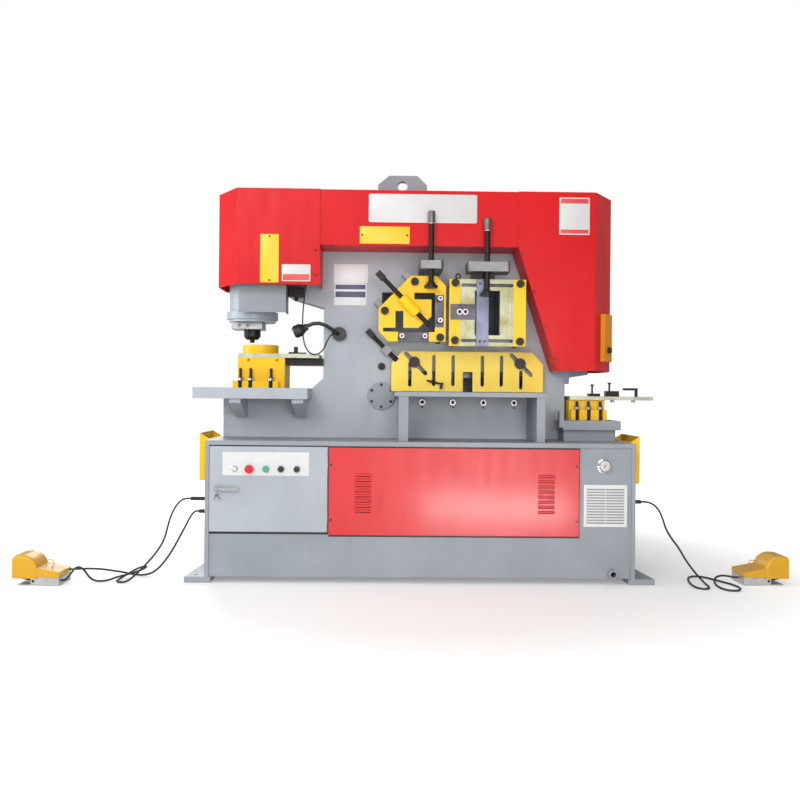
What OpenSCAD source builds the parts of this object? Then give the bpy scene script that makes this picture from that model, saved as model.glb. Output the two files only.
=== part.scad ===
// Hydraulic ironworker: punch, angle, bar and flat shears and a notcher on one welded base.
// Millimetres. +Z is up, the floor is Z = 0, the front looks along -Y, X = 0 is the middle of the base.

/* [Base] */
// Width of the base over its end plates
base_w = 2100; // [1900:10:2300]
// Depth of the base
base_d = 900; // [800:10:1000]
// Height of the base top above the floor
base_h = 690; // [660:5:720]
// Thickness of the two foot skids
foot_t = 28; // [20:1:36]
// How far each foot skid stands out sideways
foot_out = 97; // [70:1:130]
// Thickness of the end plates
end_t = 20; // [12:1:28]
// Thickness of the cabinet sheet
sheet_t = 8; // [5:1:10]
// Radius of the anchor holes in the skids
anchor_r = 11; // [6:0.5:14]
// How far the front panels lie behind the front edge
panel_set = 8; // [6:1:12]

/* [Frame] */
// Thickness of each frame plate
frame_t = 40; // [30:1:45]
// Half of the gap between the frame plates
gap_half = 30; // [28:1:34]
// Left edge of the throat
throat_x = -507; // [-530:1:-490]
// Radius of the pivot pin
pivot_r = 60; // [45:1:70]
// Left to right place of the pivot
pivot_x = -200; // [-215:1:-185]
// Height of the pivot
pivot_z = 913; // [900:1:925]
// Radius of the pivot flange
flange_r = 73; // [66:1:80]
// Height of the lifting lug's top
lug_top = 2090; // [2070:1:2110]
// Radius of the lifting eye
eye_r = 26; // [18:1:30]

/* [Covers] */
// Half depth of the covers
cover_y = 290; // [270:1:310]
// Height of the covers' top
cover_top = 1954; // [1945:1:1975]
// Sheet thickness of the covers
cover_t = 4; // [2:0.5:6]
// Width of the covers' corner bevels
bevel_w = 120; // [90:1:140]
// Depth of the covers' corner bevels
bevel_d = 180; // [140:1:190]

/* [Punch station] */
// Left to right place of the punch
punch_x = -893; // [-900:1:-880]
// Radius of the punch cylinder
cyl_r = 121; // [105:1:125]
// Radius of the punch ram
ram_r = 50; // [40:1:56]
// Radius of the punch tip
tip_r = 13; // [6:0.5:13]
// Radius of the punch nut
nut_r = 44; // [38:1:45]
// Outer radius of the stripper ring
ring_r = 95; // [94:1:105]

/* [Shears] */
// Front face of the angle and bar plates
tool_y = -272; // [-290:1:-260]
// Thickness of the angle and bar plates
tool_t = 20; // [14:1:24]
// Thickness of the shear beam
beam_t = 48; // [40:1:50]
// Radius of the angle hold-down screw
hold_r = 13.5; // [10:0.5:15]
// Thickness of the flat shear guard
guard_t = 16; // [10:1:18]

/* [Controls] */
// Width of the cabinet door
door_w = 570; // [540:1:571]
// Height of the cabinet door
door_h = 414; // [400:1:420]
// Radius of the stop button's cap
stop_r = 21; // [16:1:26]
// Radius of the start button's cap
start_r = 14; // [12:0.5:17]

/* [Pedals and cords] */
// Length of a pedal
pedal_l = 222; // [205:1:235]
// Width of a pedal
pedal_w = 160; // [140:1:170]
// Diameter of the pedal cords
cord_d = 10; // [7:0.5:12]

/* [Hidden] */
$fn = 48;

paint_grey = "#a9aeb5";
red = "#e0303a";
yellow = "#ffd21e";
orange = "#e0a018";
black = "#3a3432";
silver = "#c0c0c0";
steel = "#8a8a90";
white = "#f0f0ec";

base_x = base_w / 2;
// Base height at which the pieces above and on the base are drawn
deck = 690;
base_y = base_d / 2;
face_y = -base_y + panel_set;
top_t = 22;
tank_top = 240;
vent = [base_x - 255, base_x - 42, 283, 489];
gauge = [base_x - 152, 581];
drain = [base_x - 115, 57];
door_x0 = 22 - base_x;
door_x1 = door_x0 + door_w;
door_z0 = 248;
panel = [door_x1 + 8, base_x - 277, 234, 660];
louvre_n = 8;
louvre_pitch = 25;
frame_y = gap_half + frame_t;
frame_top = 1930;
jaw_z = 1480;
table_top = 948;
table_bot = 893;
right_x = 772;
cyl_flange = [1296, 1349];
shear_x = 780;
shear_r = 90;
shear_z = 1400;
beam_pad = 1270;
clr = 0.4;
mid_z = 1672;
left_x0 = -935;
left_x1 = -515;
left_z = 1470;
right_x0 = 487;
right_x1 = 880;
right_z = 1049;
angle_win = [-200, 82, 1238, 1460];
bar_win = [283, 414, 1234, 1466];
bar_cut = [271, 398, 1226, 1452];
flat_win = [-60, 560, 935, 1045];
tool_back = tool_y + tool_t;
screw_y = tool_y - 50;
guard_y = -120;
guard_knobs = [[-28, 1091], [525, 1088]];
guard_block = [-173, 1153];
diagonal_nut = [-60, 1369];
button_z = 553;
stop_x = door_x0 + 194;
start_x = door_x0 + 273;
selector_x = [door_x0 + 346, door_x0 + 423];
handle = [door_x0 + 43, 455];
bracket_z = [1100, 1345];
knob_z = 1160;

frame_pts = [[-1031, deck], [-1031, table_bot], [-567, table_bot], [-567, table_top], [throat_x, 1002],
    [throat_x, 1374], [-679, 1424], [-760, jaw_z], [-850, jaw_z], [-850, frame_top], [880, frame_top],
    [880, 1062], [757, right_z], [right_x, 980], [right_x, deck]];
spacers = [[-430, 1480], [-430, 1120], [-300, 1760], [250, 1760], [-650, 780], [250, 760], [700, 770], [620, 1800]];

// Routes of the cords, chosen by hand; those of the pedals run outwards from the base's end
left_route = [[98.5, -300, 390], [114, -300, 390], [131, -300, 387], [147, -300, 378.5], [162, -300, 364],
    [178, -300, 341], [195, -301, 305], [209, -305, 258], [222, -317, 200], [241, -340, 152],
    [312, -405, 57], [343, -439, 25], [361, -461, 11], [379, -475, 5.8], [399, -476, 5.6], [415, -461, 5.6],
    [421, -432, 5.6], [419, -390, 6.2], [406, -352, 13], [380, -328, 28], [350, -320, 43], [326, -325, 51],
    [308, -339, 55], [304, -358, 54], [315, -376, 49], [340, -387, 39], [380, -402, 28], [425, -430, 20],
    [462, -448, 9], [492, -453, 5.8], [520, -456, 7.5], [542, -466, 23], [568, -481, 63], [580, -488, 75.5],
    [593, -496, 79.5], [605, -503, 73], [616, -509.5, 58.5], [634.6, -518, 31.5], [643, -519.8, 24.8],
    [652, -520, 22], [661.5, -520, 22]];
rear_route = [[56.5, -300, 327], [68, -300, 327], [80, -300, 322], [90.5, -300, 312], [100, -300, 297.5],
    [122, -300, 255], [155, -300, 192], [190, -300, 128], [230, -300, 70], [268, -300, 30], [300, -300, 12],
    [332, -300.5, 5.8], [368, -304, 7.5], [400, -314, 15], [432, -332, 26], [470, -352, 36],
    [515, -370, 46], [560, -384, 51], [600, -396, 53], [628, -402.5, 52.6], [646, -405, 52],
    [661.5, -405, 52]];
right_route = [[68.5, -300, 390], [84, -300, 390], [104, -300, 388], [126, -300, 380], [147, -300, 364],
    [166, -300, 338], [182, -300, 300], [196, -302, 258], [221, -305, 213], [258, -312, 161],
    [293, -334, 97], [323, -367, 49], [341, -405, 22], [348, -447, 9], [347, -490, 5.6], [338, -526, 5.6],
    [320, -548, 5.6], [298, -548, 5.6], [282, -528, 5.6], [276, -490, 5.6], [282, -420, 5.6],
    [300, -340, 5.6], [321, -287, 5.6], [347, -258, 5.6], [377, -255, 5.6], [404, -279, 5.6],
    [431, -330, 5.6], [458, -392, 5.6], [481, -455, 5.6], [487, -515, 5.6], [475, -560, 5.6],
    [450, -585, 5.6], [420, -582, 5.6], [400, -556, 5.6], [393, -508, 5.6], [398, -447, 8], [411, -399, 16],
    [433, -368, 26], [463, -357, 31], [495, -359, 28.5], [522, -362, 24.5], [539.5, -362, 24]];
lamp_route = [[-596, -150, 1500], [-600, -150, 1450], [-607, -150, 1385], [-611, -150, 1320], [-611, -150, 1260],
    [-606, -150, 1205], [-592, -150, 1158], [-568, -150, 1130], [-538, -148, 1126], [-512, -142, 1142],
    [-494, -132, 1172], [-480, -120, 1206], [-466, -106, 1228], [-454, -95, 1236]];
neck_route = [[-431, -95, 1236], [-440, -118, 1242], [-462, -138, 1258], [-492, -148, 1276], [-524, -152, 1286],
    [-556, -152, 1284], [-586, -152, 1272], [-612, -152, 1256]];

// Cord route carried with the base's end, its first n points stretched down from the gland
function laid(p, n, s) = [for (i = [0 : len(p) - 1]) [s * (base_x + p[i][0]), p[i][1],
    i < n ? 5 + (p[i][2] - 5) * (p[0][2] - 5 + base_h - deck) / (p[0][2] - 5) : p[i][2]]];
// Carries what stands or hangs on the base up and down with its height
module lift() translate([0, 0, base_h - deck]) children();
module bx(x0, x1, y0, y1, z0, z1) translate([x0, y0, z0]) cube([x1 - x0, y1 - y0, z1 - z0]);
module rod_y(x, z, y0, y1, r) translate([x, y0, z]) rotate([-90, 0, 0]) cylinder(r = r, h = y1 - y0);
module rod_z(x, y, z0, z1, r) translate([x, y, z0]) cylinder(r = r, h = z1 - z0);
module rod_x(y, z, x0, x1, r) translate([x0, y, z]) rotate([0, 90, 0]) cylinder(r = r, h = x1 - x0);
// A flat X-Z shape given as a 2-D child, filling y0 to y1
module wall(y0, y1) translate([0, y1, 0]) rotate([90, 0, 0]) linear_extrude(y1 - y0) children();
// A flat Y-Z shape given as a 2-D child, filling x0 to x1
module side(x0, x1) translate([x0, 0, 0]) rotate([90, 0, 90]) linear_extrude(x1 - x0) children();
module rect2(x0, x1, z0, z1) translate([x0, z0]) square([x1 - x0, z1 - z0]);
// A round-ended slot from a to b
module slot2(a, b, r) {
    t = atan2(b[1] - a[1], b[0] - a[0]);
    polygon(concat(
        [for (k = [90 : 22.5 : 270]) a + r * [cos(t + k), sin(t + k)]],
        [for (k = [-90 : 22.5 : 90]) b + r * [cos(t + k), sin(t + k)]]));
}
// A socket screw whose head lies on the plane y, looking along -Y
module socket_screw(x, z, y, r, head = 14, drop = 0) {
    difference() {
        rod_y(x, z, y - head, y, r);
        translate([x, y - head - 1, z]) rotate([-90, 0, 0]) cylinder(r = r * 0.5, h = head * 0.6, $fn = 6);
    }
    if (drop > 0) rod_y(x, z, y - 1, y + drop, r * 0.6);
}
// Shapes along the falling diagonal (0.707, 0, -0.707), drawn on X from u0 to u1
module diagonal(p, y) translate([p[0], y, p[1]]) rotate([0, 45, 0]) children();

// Cord sweep: one ring of points at each route point, carried along without twist
cord_sides = 8;
function unit(v) = v / norm(v);
function tangent(p, i) = unit(p[min(i + 1, len(p) - 1)] - p[max(i - 1, 0)]);
function carried(p, i) = i == 0
    ? unit(cross(tangent(p, 0), abs(tangent(p, 0)[1]) > 0.8 ? [1, 0, 0] : [0, 1, 0]))
    : let (n = carried(p, i - 1), t = tangent(p, i)) unit(n - t * (n * t));
module sweep(p, d) {
    rings = [for (i = [0 : len(p) - 1]) let (n = carried(p, i), b = cross(tangent(p, i), n))
        for (k = [0 : cord_sides - 1]) p[i] + d / 2 * (n * cos(360 * k / cord_sides) + b * sin(360 * k / cord_sides))];
    last = (len(p) - 1) * cord_sides;
    polyhedron(points = rings, faces = concat(
        [[for (k = [0 : cord_sides - 1]) k]],
        [[for (k = [cord_sides - 1 : -1 : 0]) last + k]],
        [for (i = [0 : len(p) - 2]) for (k = [0 : cord_sides - 1])
            let (a = i * cord_sides + k, b = i * cord_sides + (k + 1) % cord_sides)
            [a, a + cord_sides, b + cord_sides, b]]));
}

module base_cabinet() color(paint_grey) difference() {
    union() {
        for (s = [-1, 1]) {
            bx(s * base_x - (s > 0 ? end_t : 0), s * base_x + (s > 0 ? 0 : end_t), -base_y, base_y, foot_t - 1, base_h);
            linear_extrude(foot_t) polygon([[s * (base_x - 30), -base_y], [s * (base_x + foot_out), -base_y],
                [s * (base_x + foot_out * 0.7), -100], [s * (base_x + foot_out * 0.7), 100],
                [s * (base_x + foot_out), base_y], [s * (base_x - 30), base_y]]);
        }
        bx(-base_x, base_x, -base_y, base_y, base_h - top_t, base_h);
        bx(-base_x + 1, base_x - 1, face_y, -face_y, foot_t, base_h - 1);
        rod_y(drain[0], drain[1], face_y - 50, face_y + 4, 21);
    }
    // Oil tank, drained by the stub
    bx(-base_x + end_t + 8, base_x - end_t - 8, face_y + sheet_t, -face_y - sheet_t, foot_t + 12, tank_top - sheet_t + base_h - deck);
    rod_y(drain[0], drain[1], face_y - 51, face_y + 20, 14);
    // Electric room behind the door
    lift() bx(door_x0 + 12, door_x1 - 14, face_y - 1, -80, door_z0 + 14, door_z0 + door_h - 14);
    // Motor room behind the louvred panel
    lift() bx(panel[0] + 16, panel[1] - 16, face_y - 1, -face_y - sheet_t, tank_top, panel[3] - 16);
    // Valve room behind the vent
    lift() bx(panel[1], base_x - end_t - 8, face_y + sheet_t, -face_y - sheet_t, tank_top, panel[3] - 16);
    lift() bx(vent[0] + 10, vent[1] - 10, face_y - 1, face_y + 20, vent[2] + 10, vent[3] - 10);
    // Gauge hole and anchor holes
    lift() rod_y(gauge[0], gauge[1], face_y - 1, face_y + 20, 28);
    for (s = [-1, 1], y = [-base_y + 60, base_y - 60]) rod_z(s * (base_x + foot_out / 2), y, -1, foot_t + 1, anchor_r);
    // Slug hole under the punch
    rod_z(punch_x, 0, base_h - top_t - 1, base_h + 1, 30);
}

module front_panel() color(red) lift() difference() {
    union() {
        bx(panel[0], panel[1], face_y - 6, face_y, panel[2], panel[3]);
        for (x = [panel[0] + 126, panel[1] - 201], k = [0 : louvre_n - 1])
            rod_x(face_y - 6, 352 + k * louvre_pitch, x, x + 80, 8);
    }
    bx(panel[0] - 1, panel[1] + 1, face_y, face_y + 20, panel[2], panel[3]);
    for (x = [panel[0] + 126, panel[1] - 201], k = [0 : louvre_n - 1])
        bx(x + 6, x + 74, face_y - 12, face_y + 1, 344 + k * louvre_pitch, 351 + k * louvre_pitch);
}

module vent_grille() color(white) lift() difference() {
    bx(vent[0], vent[1], face_y - 10, face_y, vent[2], vent[3]);
    for (c = [0, 1], k = [0 : 12])
        bx(vent[0] + 14 + c * 94, vent[0] + 105 + c * 94, face_y - 11, face_y + 1,
            vent[2] + 16 + k * 13.6, vent[2] + 23 + k * 13.6);
}

module pressure_gauge() color(silver) lift() difference() {
    union() {
        rod_y(gauge[0], gauge[1], face_y - 4, face_y, 40);
        rod_y(gauge[0], gauge[1], face_y - 18, face_y + 40, 27);
        rod_y(gauge[0], gauge[1], face_y - 18, face_y - 3, 33);
    }
    rod_y(gauge[0], gauge[1], face_y - 19, face_y - 12, 29);
}

module pocket() difference() {
    wall(-340, 10) polygon([[base_x, 485], [base_x + 50, 485], [base_x + 50, 722], [base_x, deck]]);
    wall(-336, 6) polygon([[base_x + 4, 489], [base_x + 46, 489], [base_x + 46, 760], [base_x + 4, 760]]);
}
module side_pockets() color(orange) lift() {
    pocket();
    mirror([1, 0, 0]) pocket();
}

module frame_shape() difference() {
    polygon(frame_pts);
    translate([pivot_x, pivot_z]) circle(r = pivot_r);
    rect2(angle_win[0], angle_win[1], angle_win[2], angle_win[3]);
    rect2(bar_win[0] - 8, bar_win[1] + 8, bar_win[2] - 8, bar_win[3] + 8);
    rect2(flat_win[0], flat_win[1], flat_win[2], flat_win[3]);
}
module cylinder_seats() {
    rod_z(punch_x, 0, 1300, 1800, cyl_r);
    rod_z(shear_x, 0, shear_z, 1800, shear_r);
}
module front_frame_plate() color(paint_grey) lift() difference() {
    wall(-frame_y, -gap_half) frame_shape();
    cylinder_seats();
    bx(flat_win[0], flat_win[1], -gap_half - 20, -gap_half + 1, 850, flat_win[2] + 1);
}
module rear_frame_plate() color(paint_grey) lift() difference() {
    wall(gap_half, frame_y) frame_shape();
    cylinder_seats();
}

module punch_table() color(paint_grey) lift() difference() {
    union() {
        bx(-1137, -567, -340, 340, table_bot, table_top);
        for (x = [-960, -647], m = [0, 1]) mirror([0, m, 0])
            side(x, x + 58) polygon([[-frame_y, table_bot + 1], [-320, table_bot + 1], [-320, 872], [-110, 796], [-frame_y, 796]]);
    }
    rod_z(punch_x, 0, table_bot - 1, table_top + 1, 30);
}

module shear_table() color(paint_grey) lift() {
    difference() {
        union() {
            bx(-132, 616, -400, -frame_y, 912, flat_win[2]);
            bx(-112, -64, -395, -frame_y, deck, 913);
        }
        rod_y(pivot_x, pivot_z, -frame_y - 13, -frame_y + 1, flange_r + 1);
    }
    bx(572, 613, -395, -frame_y, deck, 913);
}

module notch_table() color(paint_grey) lift() difference() {
    union() {
        bx(730, 1027, -250, 250, 748, 796);
        bx(740, 1007, -220, 220, deck, 749);
        bx(712, 735, -250, -205, 760, 845);
    }
    bx(700, right_x, -frame_y, frame_y, deck - 1, 850);
}

module punch_cylinder() color(paint_grey) lift() difference() {
    union() {
        rod_z(punch_x, 0, cyl_flange[1] - 1, 1800, cyl_r);
        rod_z(punch_x, 0, cyl_flange[0] + 14, cyl_flange[1], cyl_r + 15);
        rod_z(punch_x, 0, cyl_flange[0], cyl_flange[1], cyl_r + 3);
    }
    rod_z(punch_x, 0, cyl_flange[0] - 1, 1540, ram_r + clr);
}

module punch_guard() color(paint_grey) lift() difference() {
    union() {
        bx(-934, -694, -200, -196, 1337, jaw_z);
        bx(-698, -694, -200, -frame_y, 1337, jaw_z);
        bx(-934, -694, -200, -frame_y, jaw_z - 4, jaw_z);
        bx(-846, -764, -frame_y - 1, -gap_half, jaw_z - 4, jaw_z);
    }
    rod_z(punch_x, 0, 1300, 1500, cyl_r);
}

module punch_bolster() color(yellow) lift() {
    difference() {
        bx(-947, -704, -130, 130, table_top, 1106);
        rod_z(punch_x, 0, table_top - 1, 1107, 18);
        rod_z(punch_x, 0, 1080, 1107, 26);
        for (x = [-892, -744]) rod_y(x, 1092, -131, -110, 7);
    }
    difference() {
        bx(-969, -733, -165, -130, table_top, 984);
        for (x = [-930, -877, -772]) bx(x - 10, x + 10, -166, -140, table_top - 1, 985);
    }
    // Stripper ring around the punch
    difference() {
        rod_z(punch_x + 45, 0, 1128, 1176, ring_r);
        rod_z(punch_x, 0, 1127, 1177, nut_r + 3);
    }
}

module black_fittings() color(black) lift() {
    // Angle and bar plate bolts with their standoffs
    for (p = [[-35, 1493], [-185, 1344], [96, 1212], [171, 1490], [501, 1488], [171, 1198], [501, 1195]]) {
        socket_screw(p[0], p[1], tool_y, 20, 14);
        rod_y(p[0], p[1], tool_back, -frame_y, 22);
    }
    // Blade bolts
    for (p = [[92, 1403], [92, 1294], [-99, 1214], [16, 1214]]) socket_screw(p[0], p[1], tool_y, 11, 8);
    // Flat blade bolts
    for (x = [16, 178, 340, 502]) socket_screw(x, 882, -frame_y, 17, 12);
    // Cap screw over the pivot and the pivot flange screws
    socket_screw(pivot_x, 1068, -frame_y, 19, 14);
    for (a = [30 : 60 : 330])
        socket_screw(pivot_x + 58 * cos(a), pivot_z + 58 * sin(a), -frame_y - 12, 7, 6);
    // Clamp studs of the punch bolster
    for (x = [-930, -877, -772]) {
        rod_z(x, -150, table_top, 1050, 7);
        rod_z(x, -150, 984, 1004, 14);
    }
    // Clamp studs of the notch die
    for (x = [822, 882, 944]) {
        rod_z(x, -150, 796, 894, 7);
        rod_z(x, -150, 850, 868, 13);
    }
    // Stops of the notch table with their clamp screws, and the clamp lever
    for (p = [[890, 950, 936, 912, 984], [980, 1050, 950, 1003, 994]]) {
        bx(p[0], p[1], -120, -80, 921, p[2]);
        rod_z(p[3], -100, p[2] - 1, p[4], 5);
        rod_z(p[3], -100, p[4] - 8, p[4], 9);
    }
    rod_z(1145, -100, 921, 964, 8);
    bx(1075, 1152, -107, -93, 954, 966);
    // Stops of the punch table
    bx(-692, -640, -60, -30, 1128, 1140);
    bx(-665, -645, -55, -35, 1139, 1168);
    bx(-636, -600, -60, -30, 1128, 1138);
    // Rail under the punch support
    bx(-704, throat_x, -90, 90, 1070, 1106);
    // Ring above the bar shear
    difference() {
        rod_y(185, 1524, tool_y + 2, tool_back - 2, 15);
        rod_y(185, 1524, tool_y - 1, tool_back + 1, 7);
        bx(150, 240, tool_y - 1, tool_back + 1, 1480, 1510);
    }
    // Neck that carries the bar shear's screw block
    bx(253, 371, tool_y, tool_back + 40, 1510, 1540);
    // Limit switch on the jaw
    bx(-690, -610, -120, -frame_y, 1425, 1476);
    rod_z(-650, -100, 1405, 1426, 10);
}

module punch_support() color(white) lift() difference() {
    union() {
        bx(-947, -526, -130, 130, 1106, 1128);
    }
    rod_z(punch_x, 0, 1105, 1129, 25);
}

module left_plan() polygon([[left_x1, -cover_y], [left_x0, -cover_y], [left_x0 - bevel_w, -cover_y + bevel_d],
    [left_x0 - bevel_w, cover_y - bevel_d], [left_x0, cover_y], [left_x1, cover_y]]);
module left_cover() color(red) lift() difference() {
    translate([0, 0, left_z]) linear_extrude(cover_top - left_z) left_plan();
    translate([0, 0, left_z - 1]) linear_extrude(cover_top - left_z + 1 - cover_t) offset(delta = -cover_t) left_plan();
    bx(left_x1 - 20, left_x1 + 1, -cover_y + cover_t, cover_y - cover_t, mid_z, cover_top - cover_t);
    bx(left_x1 - 20, left_x1 + 1, -frame_y, frame_y, left_z - 1, mid_z + 1);
}

module top_cover() color(red) lift() difference() {
    bx(left_x1, right_x0, -cover_y + 3, cover_y - 3, mid_z, cover_top - 2);
    bx(left_x1 - 1, right_x0 + 1, -cover_y + 3 + cover_t, cover_y - 3 - cover_t, mid_z + cover_t, cover_top - 2 - cover_t);
    bx(left_x1 - 1, right_x0 + 1, -frame_y, frame_y, mid_z - 1, mid_z + cover_t + 1);
    bx(-228, 34, -20, 20, cover_top - 20, cover_top + 1);
}

module right_front(t) polygon([[right_x0, mid_z + (t > 0 ? 0 : 0)], [right_x0 + 203, right_z], [1300, right_z],
    [1300, cover_top], [right_x0, cover_top]]);
module right_plan(t) polygon([[0, -cover_y + t], [right_x1 - t * 0.5, -cover_y + t],
    [right_x1 + bevel_w - t, -cover_y + bevel_d + t * 0.5], [right_x1 + bevel_w - t, cover_y - bevel_d - t * 0.5],
    [right_x1 - t * 0.5, cover_y - t], [0, cover_y - t]]);
module right_cover() color(red) lift() difference() {
    intersection() {
        wall(-cover_y, cover_y) right_front(0);
        translate([0, 0, right_z - 1]) linear_extrude(cover_top - right_z + 2) right_plan(0);
    }
    intersection() {
        wall(-cover_y, cover_y) polygon([[right_x0 + 4, mid_z], [right_x0 + 207.5, right_z - 1], [1300, right_z - 1],
            [1300, cover_top - cover_t], [right_x0 - 1, cover_top - cover_t], [right_x0 - 1, mid_z]]);
        translate([0, 0, right_z - 2]) linear_extrude(cover_top - right_z + 2) right_plan(cover_t);
    }
    bx(right_x0 - 10, right_x1, -frame_y, frame_y, right_z - 1, mid_z + 1);
}

module tool_plates() color(yellow) lift() {
    wall(tool_y, tool_back) difference() {
        polygon([[-55, 1523], [75, 1523], [124, 1474], [124, 1190], [-167, 1190], [-216, 1244], [-216, 1357]]);
        rect2(-193, 69, 1239, 1259);
        rect2(51, 69, 1239, 1438);
        polygon([[-17, 1258], [52, 1258], [52, 1317]]);
        rect2(-36, 69, 1404, 1438);
        rect2(-131, -91, 1258, 1345);
        rect2(68, 114, 1263, 1427);
        rect2(-118, 39, 1183, 1240);
    }
    // Side strips of the bar shear
    wall(tool_y, tool_back) rect2(141, 196, 1170, 1510);
    wall(tool_y, tool_back) rect2(468, 531, 1170, 1510);
    // Nut tube of the diagonal screw on its pad
    difference() {
        union() {
            diagonal(diagonal_nut, screw_y + 10) rod_x(0, 0, -56, 56, 27);
            diagonal(diagonal_nut, screw_y + 10) bx(-40, 40, 0, -screw_y + tool_y - 10, -20, 20);
        }
        diagonal(diagonal_nut, screw_y + 10) rod_x(0, 0, -60, 60, 11.5 + clr);
    }
}

module fixed_blades() color(black) lift() {
    bx(69, 114, tool_y, tool_y + 34, 1263, 1427);
    bx(-118, 39, tool_y, tool_y + 34, 1190, 1238);
    difference() {
        bx(148, 275, tool_y - 6, tool_y, 1304, 1382);
        for (x = [194, 223]) rod_y(x, 1343, tool_y - 7, tool_y - 2, 12);
    }
    bx(flat_win[0], flat_win[1], -gap_half - 20, -gap_half, 850, flat_win[2]);
    difference() {
        rod_z(punch_x, 0, 1106, 1128, 25);
        rod_z(punch_x, 0, 1105, 1129, tip_r + 0.6);
    }
    difference() {
        rod_z(punch_x, 0, 1080, 1106, 26);
        rod_z(punch_x, 0, 1079, 1107, tip_r + 0.6);
    }
}

// Block with its two front corners rounded
module nosed(x0, x1, y0, y1, z0, z1, r) translate([0, 0, z0]) linear_extrude(z1 - z0) polygon(concat(
    [for (a = [180 : 10 : 270]) [x0 + r + r * cos(a), y0 + r + r * sin(a)]],
    [for (a = [270 : 10 : 360]) [x1 - r + r * cos(a), y0 + r + r * sin(a)]], [[x1, y1], [x0, y1]]));
module screw_blocks() color(silver) lift() difference() {
    union() {
        nosed(-11, 106, screw_y - 30, -frame_y, 1551, 1592, 16);
        nosed(225, 441, screw_y - 30, tool_back + 40, 1540, 1588, 16);
        diagonal(guard_block, 0) bx(-22, 22, -138, -frame_y, -23, 23);
        for (p = [[-70, 1542], [-215, 1392]]) diagonal(p, 0) bx(-26, 26, -115, -frame_y, -16, 16);
    }
    rod_z(45, screw_y, 1500, 1700, hold_r + clr);
    rod_z(326, screw_y, 1500, 1700, 14 + clr);
    diagonal(guard_block, guard_y + guard_t / 2) rod_x(0, 0, -60, 60, 11 + clr);
}

module bar_shape() {
    difference() {
        children();
        rect2(bar_cut[0], bar_cut[1], bar_cut[2], bar_cut[3]);
        for (z = [1198, 1479]) slot2([209, z], [458, z], 8);
    }
}
module bar_shear_plate() color(steel) lift() wall(tool_y, tool_back) bar_shape() rect2(196, 468, 1170, 1510);
// Sheet chute behind an opening, open below and towards the frame
module chute(x0, x1, z0, z1, d) difference() {
    bx(x0, x1, frame_y, frame_y + d, z0, z1);
    bx(x0 + cover_t, x1 - cover_t, frame_y - 1, frame_y + d - cover_t, z0 - 1, z1 - cover_t);
}
module rear_chutes() color(paint_grey) lift() {
    chute(-240, 450, 1130, 1520, 150);
    chute(-90, 590, 780, 1080, 150);
}

module guard_clamp_bolts() color(black) lift() for (p = guard_knobs) {
    rod_y(p[0], p[1], guard_y - 22, guard_y - clr, 28);
    rod_y(p[0], p[1], guard_y - 1, -frame_y, 9.5);
    rod_y(p[0], p[1], guard_y + guard_t + clr, -frame_y, 24);
}

module frame_spacers() color(paint_grey) lift() {
    // Pivot pin of the beam with its flanges
    rod_y(pivot_x, pivot_z, -frame_y - 1, frame_y + 1, pivot_r);
    for (s = [0, 1]) mirror([0, s, 0]) rod_y(pivot_x, pivot_z, -frame_y - 12, -frame_y, flange_r);
    // Spacers between the frame plates
    for (p = spacers) rod_y(p[0], p[1], -gap_half, gap_half, 30);
    // Lifting lug
    difference() {
        union() {
            bx(-228, 34, -gap_half, gap_half, 1860, frame_top);
            wall(-20, 20) polygon([[-228, 1900], [34, 1900], [34, lug_top - 50], [-18, lug_top], [-168, lug_top], [-228, lug_top - 50]]);
        }
        rod_y(-97, lug_top - 57, -25, 25, eye_r);
    }
}

module shear_cylinder() color(paint_grey) lift() difference() {
    rod_z(shear_x, 0, shear_z, 1800, shear_r);
    rod_z(shear_x, 0, shear_z - 1, 1560, 28 + clr);
}

module notch_die() color(yellow) lift() {
    bx(784, 971, -130, 130, 796, 902);
    difference() {
        bx(788, 975, -165, -130, 796, 850);
        for (x = [822, 882, 944]) bx(x - 10, x + 10, -166, -140, 795, 851);
    }
}

module notch_support() color(white) lift() {
    bx(784, 1220, -150, 150, 902, 921);
    for (x = [1015, 1125]) rod_z(x, -120, 890, 903, 10);
}

module on_bevel() translate([right_x1 + 0.62 * bevel_w, -cover_y + 0.62 * bevel_d, 0]) rotate(atan2(bevel_d, bevel_w)) children();
module limit_bracket() color(orange) lift() on_bevel() difference() {
    bx(-54, 54, -22, 0, bracket_z[0], bracket_z[1]);
    wall(-23, 1) slot2([0, knob_z], [0, knob_z + 120], 6);
}
module limit_knob() color(black) lift() on_bevel() {
    rod_y(0, knob_z, -22 - clr - 16, -22 - clr, 15);
    rod_y(0, knob_z, -23, -3, 5);
}

module work_lamp() color(black) lift() {
    rod_y(-424, 1236, -95, -frame_y, 37);
    sweep(neck_route, 20);
    translate([-655, -152, 1236]) rotate([0, 65, 0]) difference() {
        union() {
            cylinder(r1 = 27, r2 = 33, h = 8);
            translate([0, 0, 8]) cylinder(r = 33, h = 30);
            translate([0, 0, 38]) cylinder(r1 = 33, r2 = 18, h = 24);
        }
        translate([0, 0, -1]) cylinder(r = 23, h = 9);
    }
    translate([-600, -152, 1262]) rotate([0, 65, 0]) cylinder(r = 18, h = 30, center = true);
}

module electric_plate() color(silver) lift() {
    bx(door_x0 + 48, door_x1 - 52, -92, -80, 290, 630);
    for (k = [0 : 3]) bx(door_x0 + 98 + 80 * k, door_x0 + 158 + 80 * k, -160, -91, 470, 570);
    for (k = [0, 1]) bx(door_x0 + 98 + 160 * k, door_x0 + 228 + 160 * k, -180, -91, 330, 430);
}

module motor_pump() color(paint_grey) lift() {
    rod_x(0, 420, -150, 250, 110);
    rod_x(0, 420, 250, 330, 60);
    bx(330, 450, -60, 60, 340, 500);
    bx(-120, 220, -100, 100, tank_top, 330);
    bx(340, 440, -50, 50, tank_top, 341);
}

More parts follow.
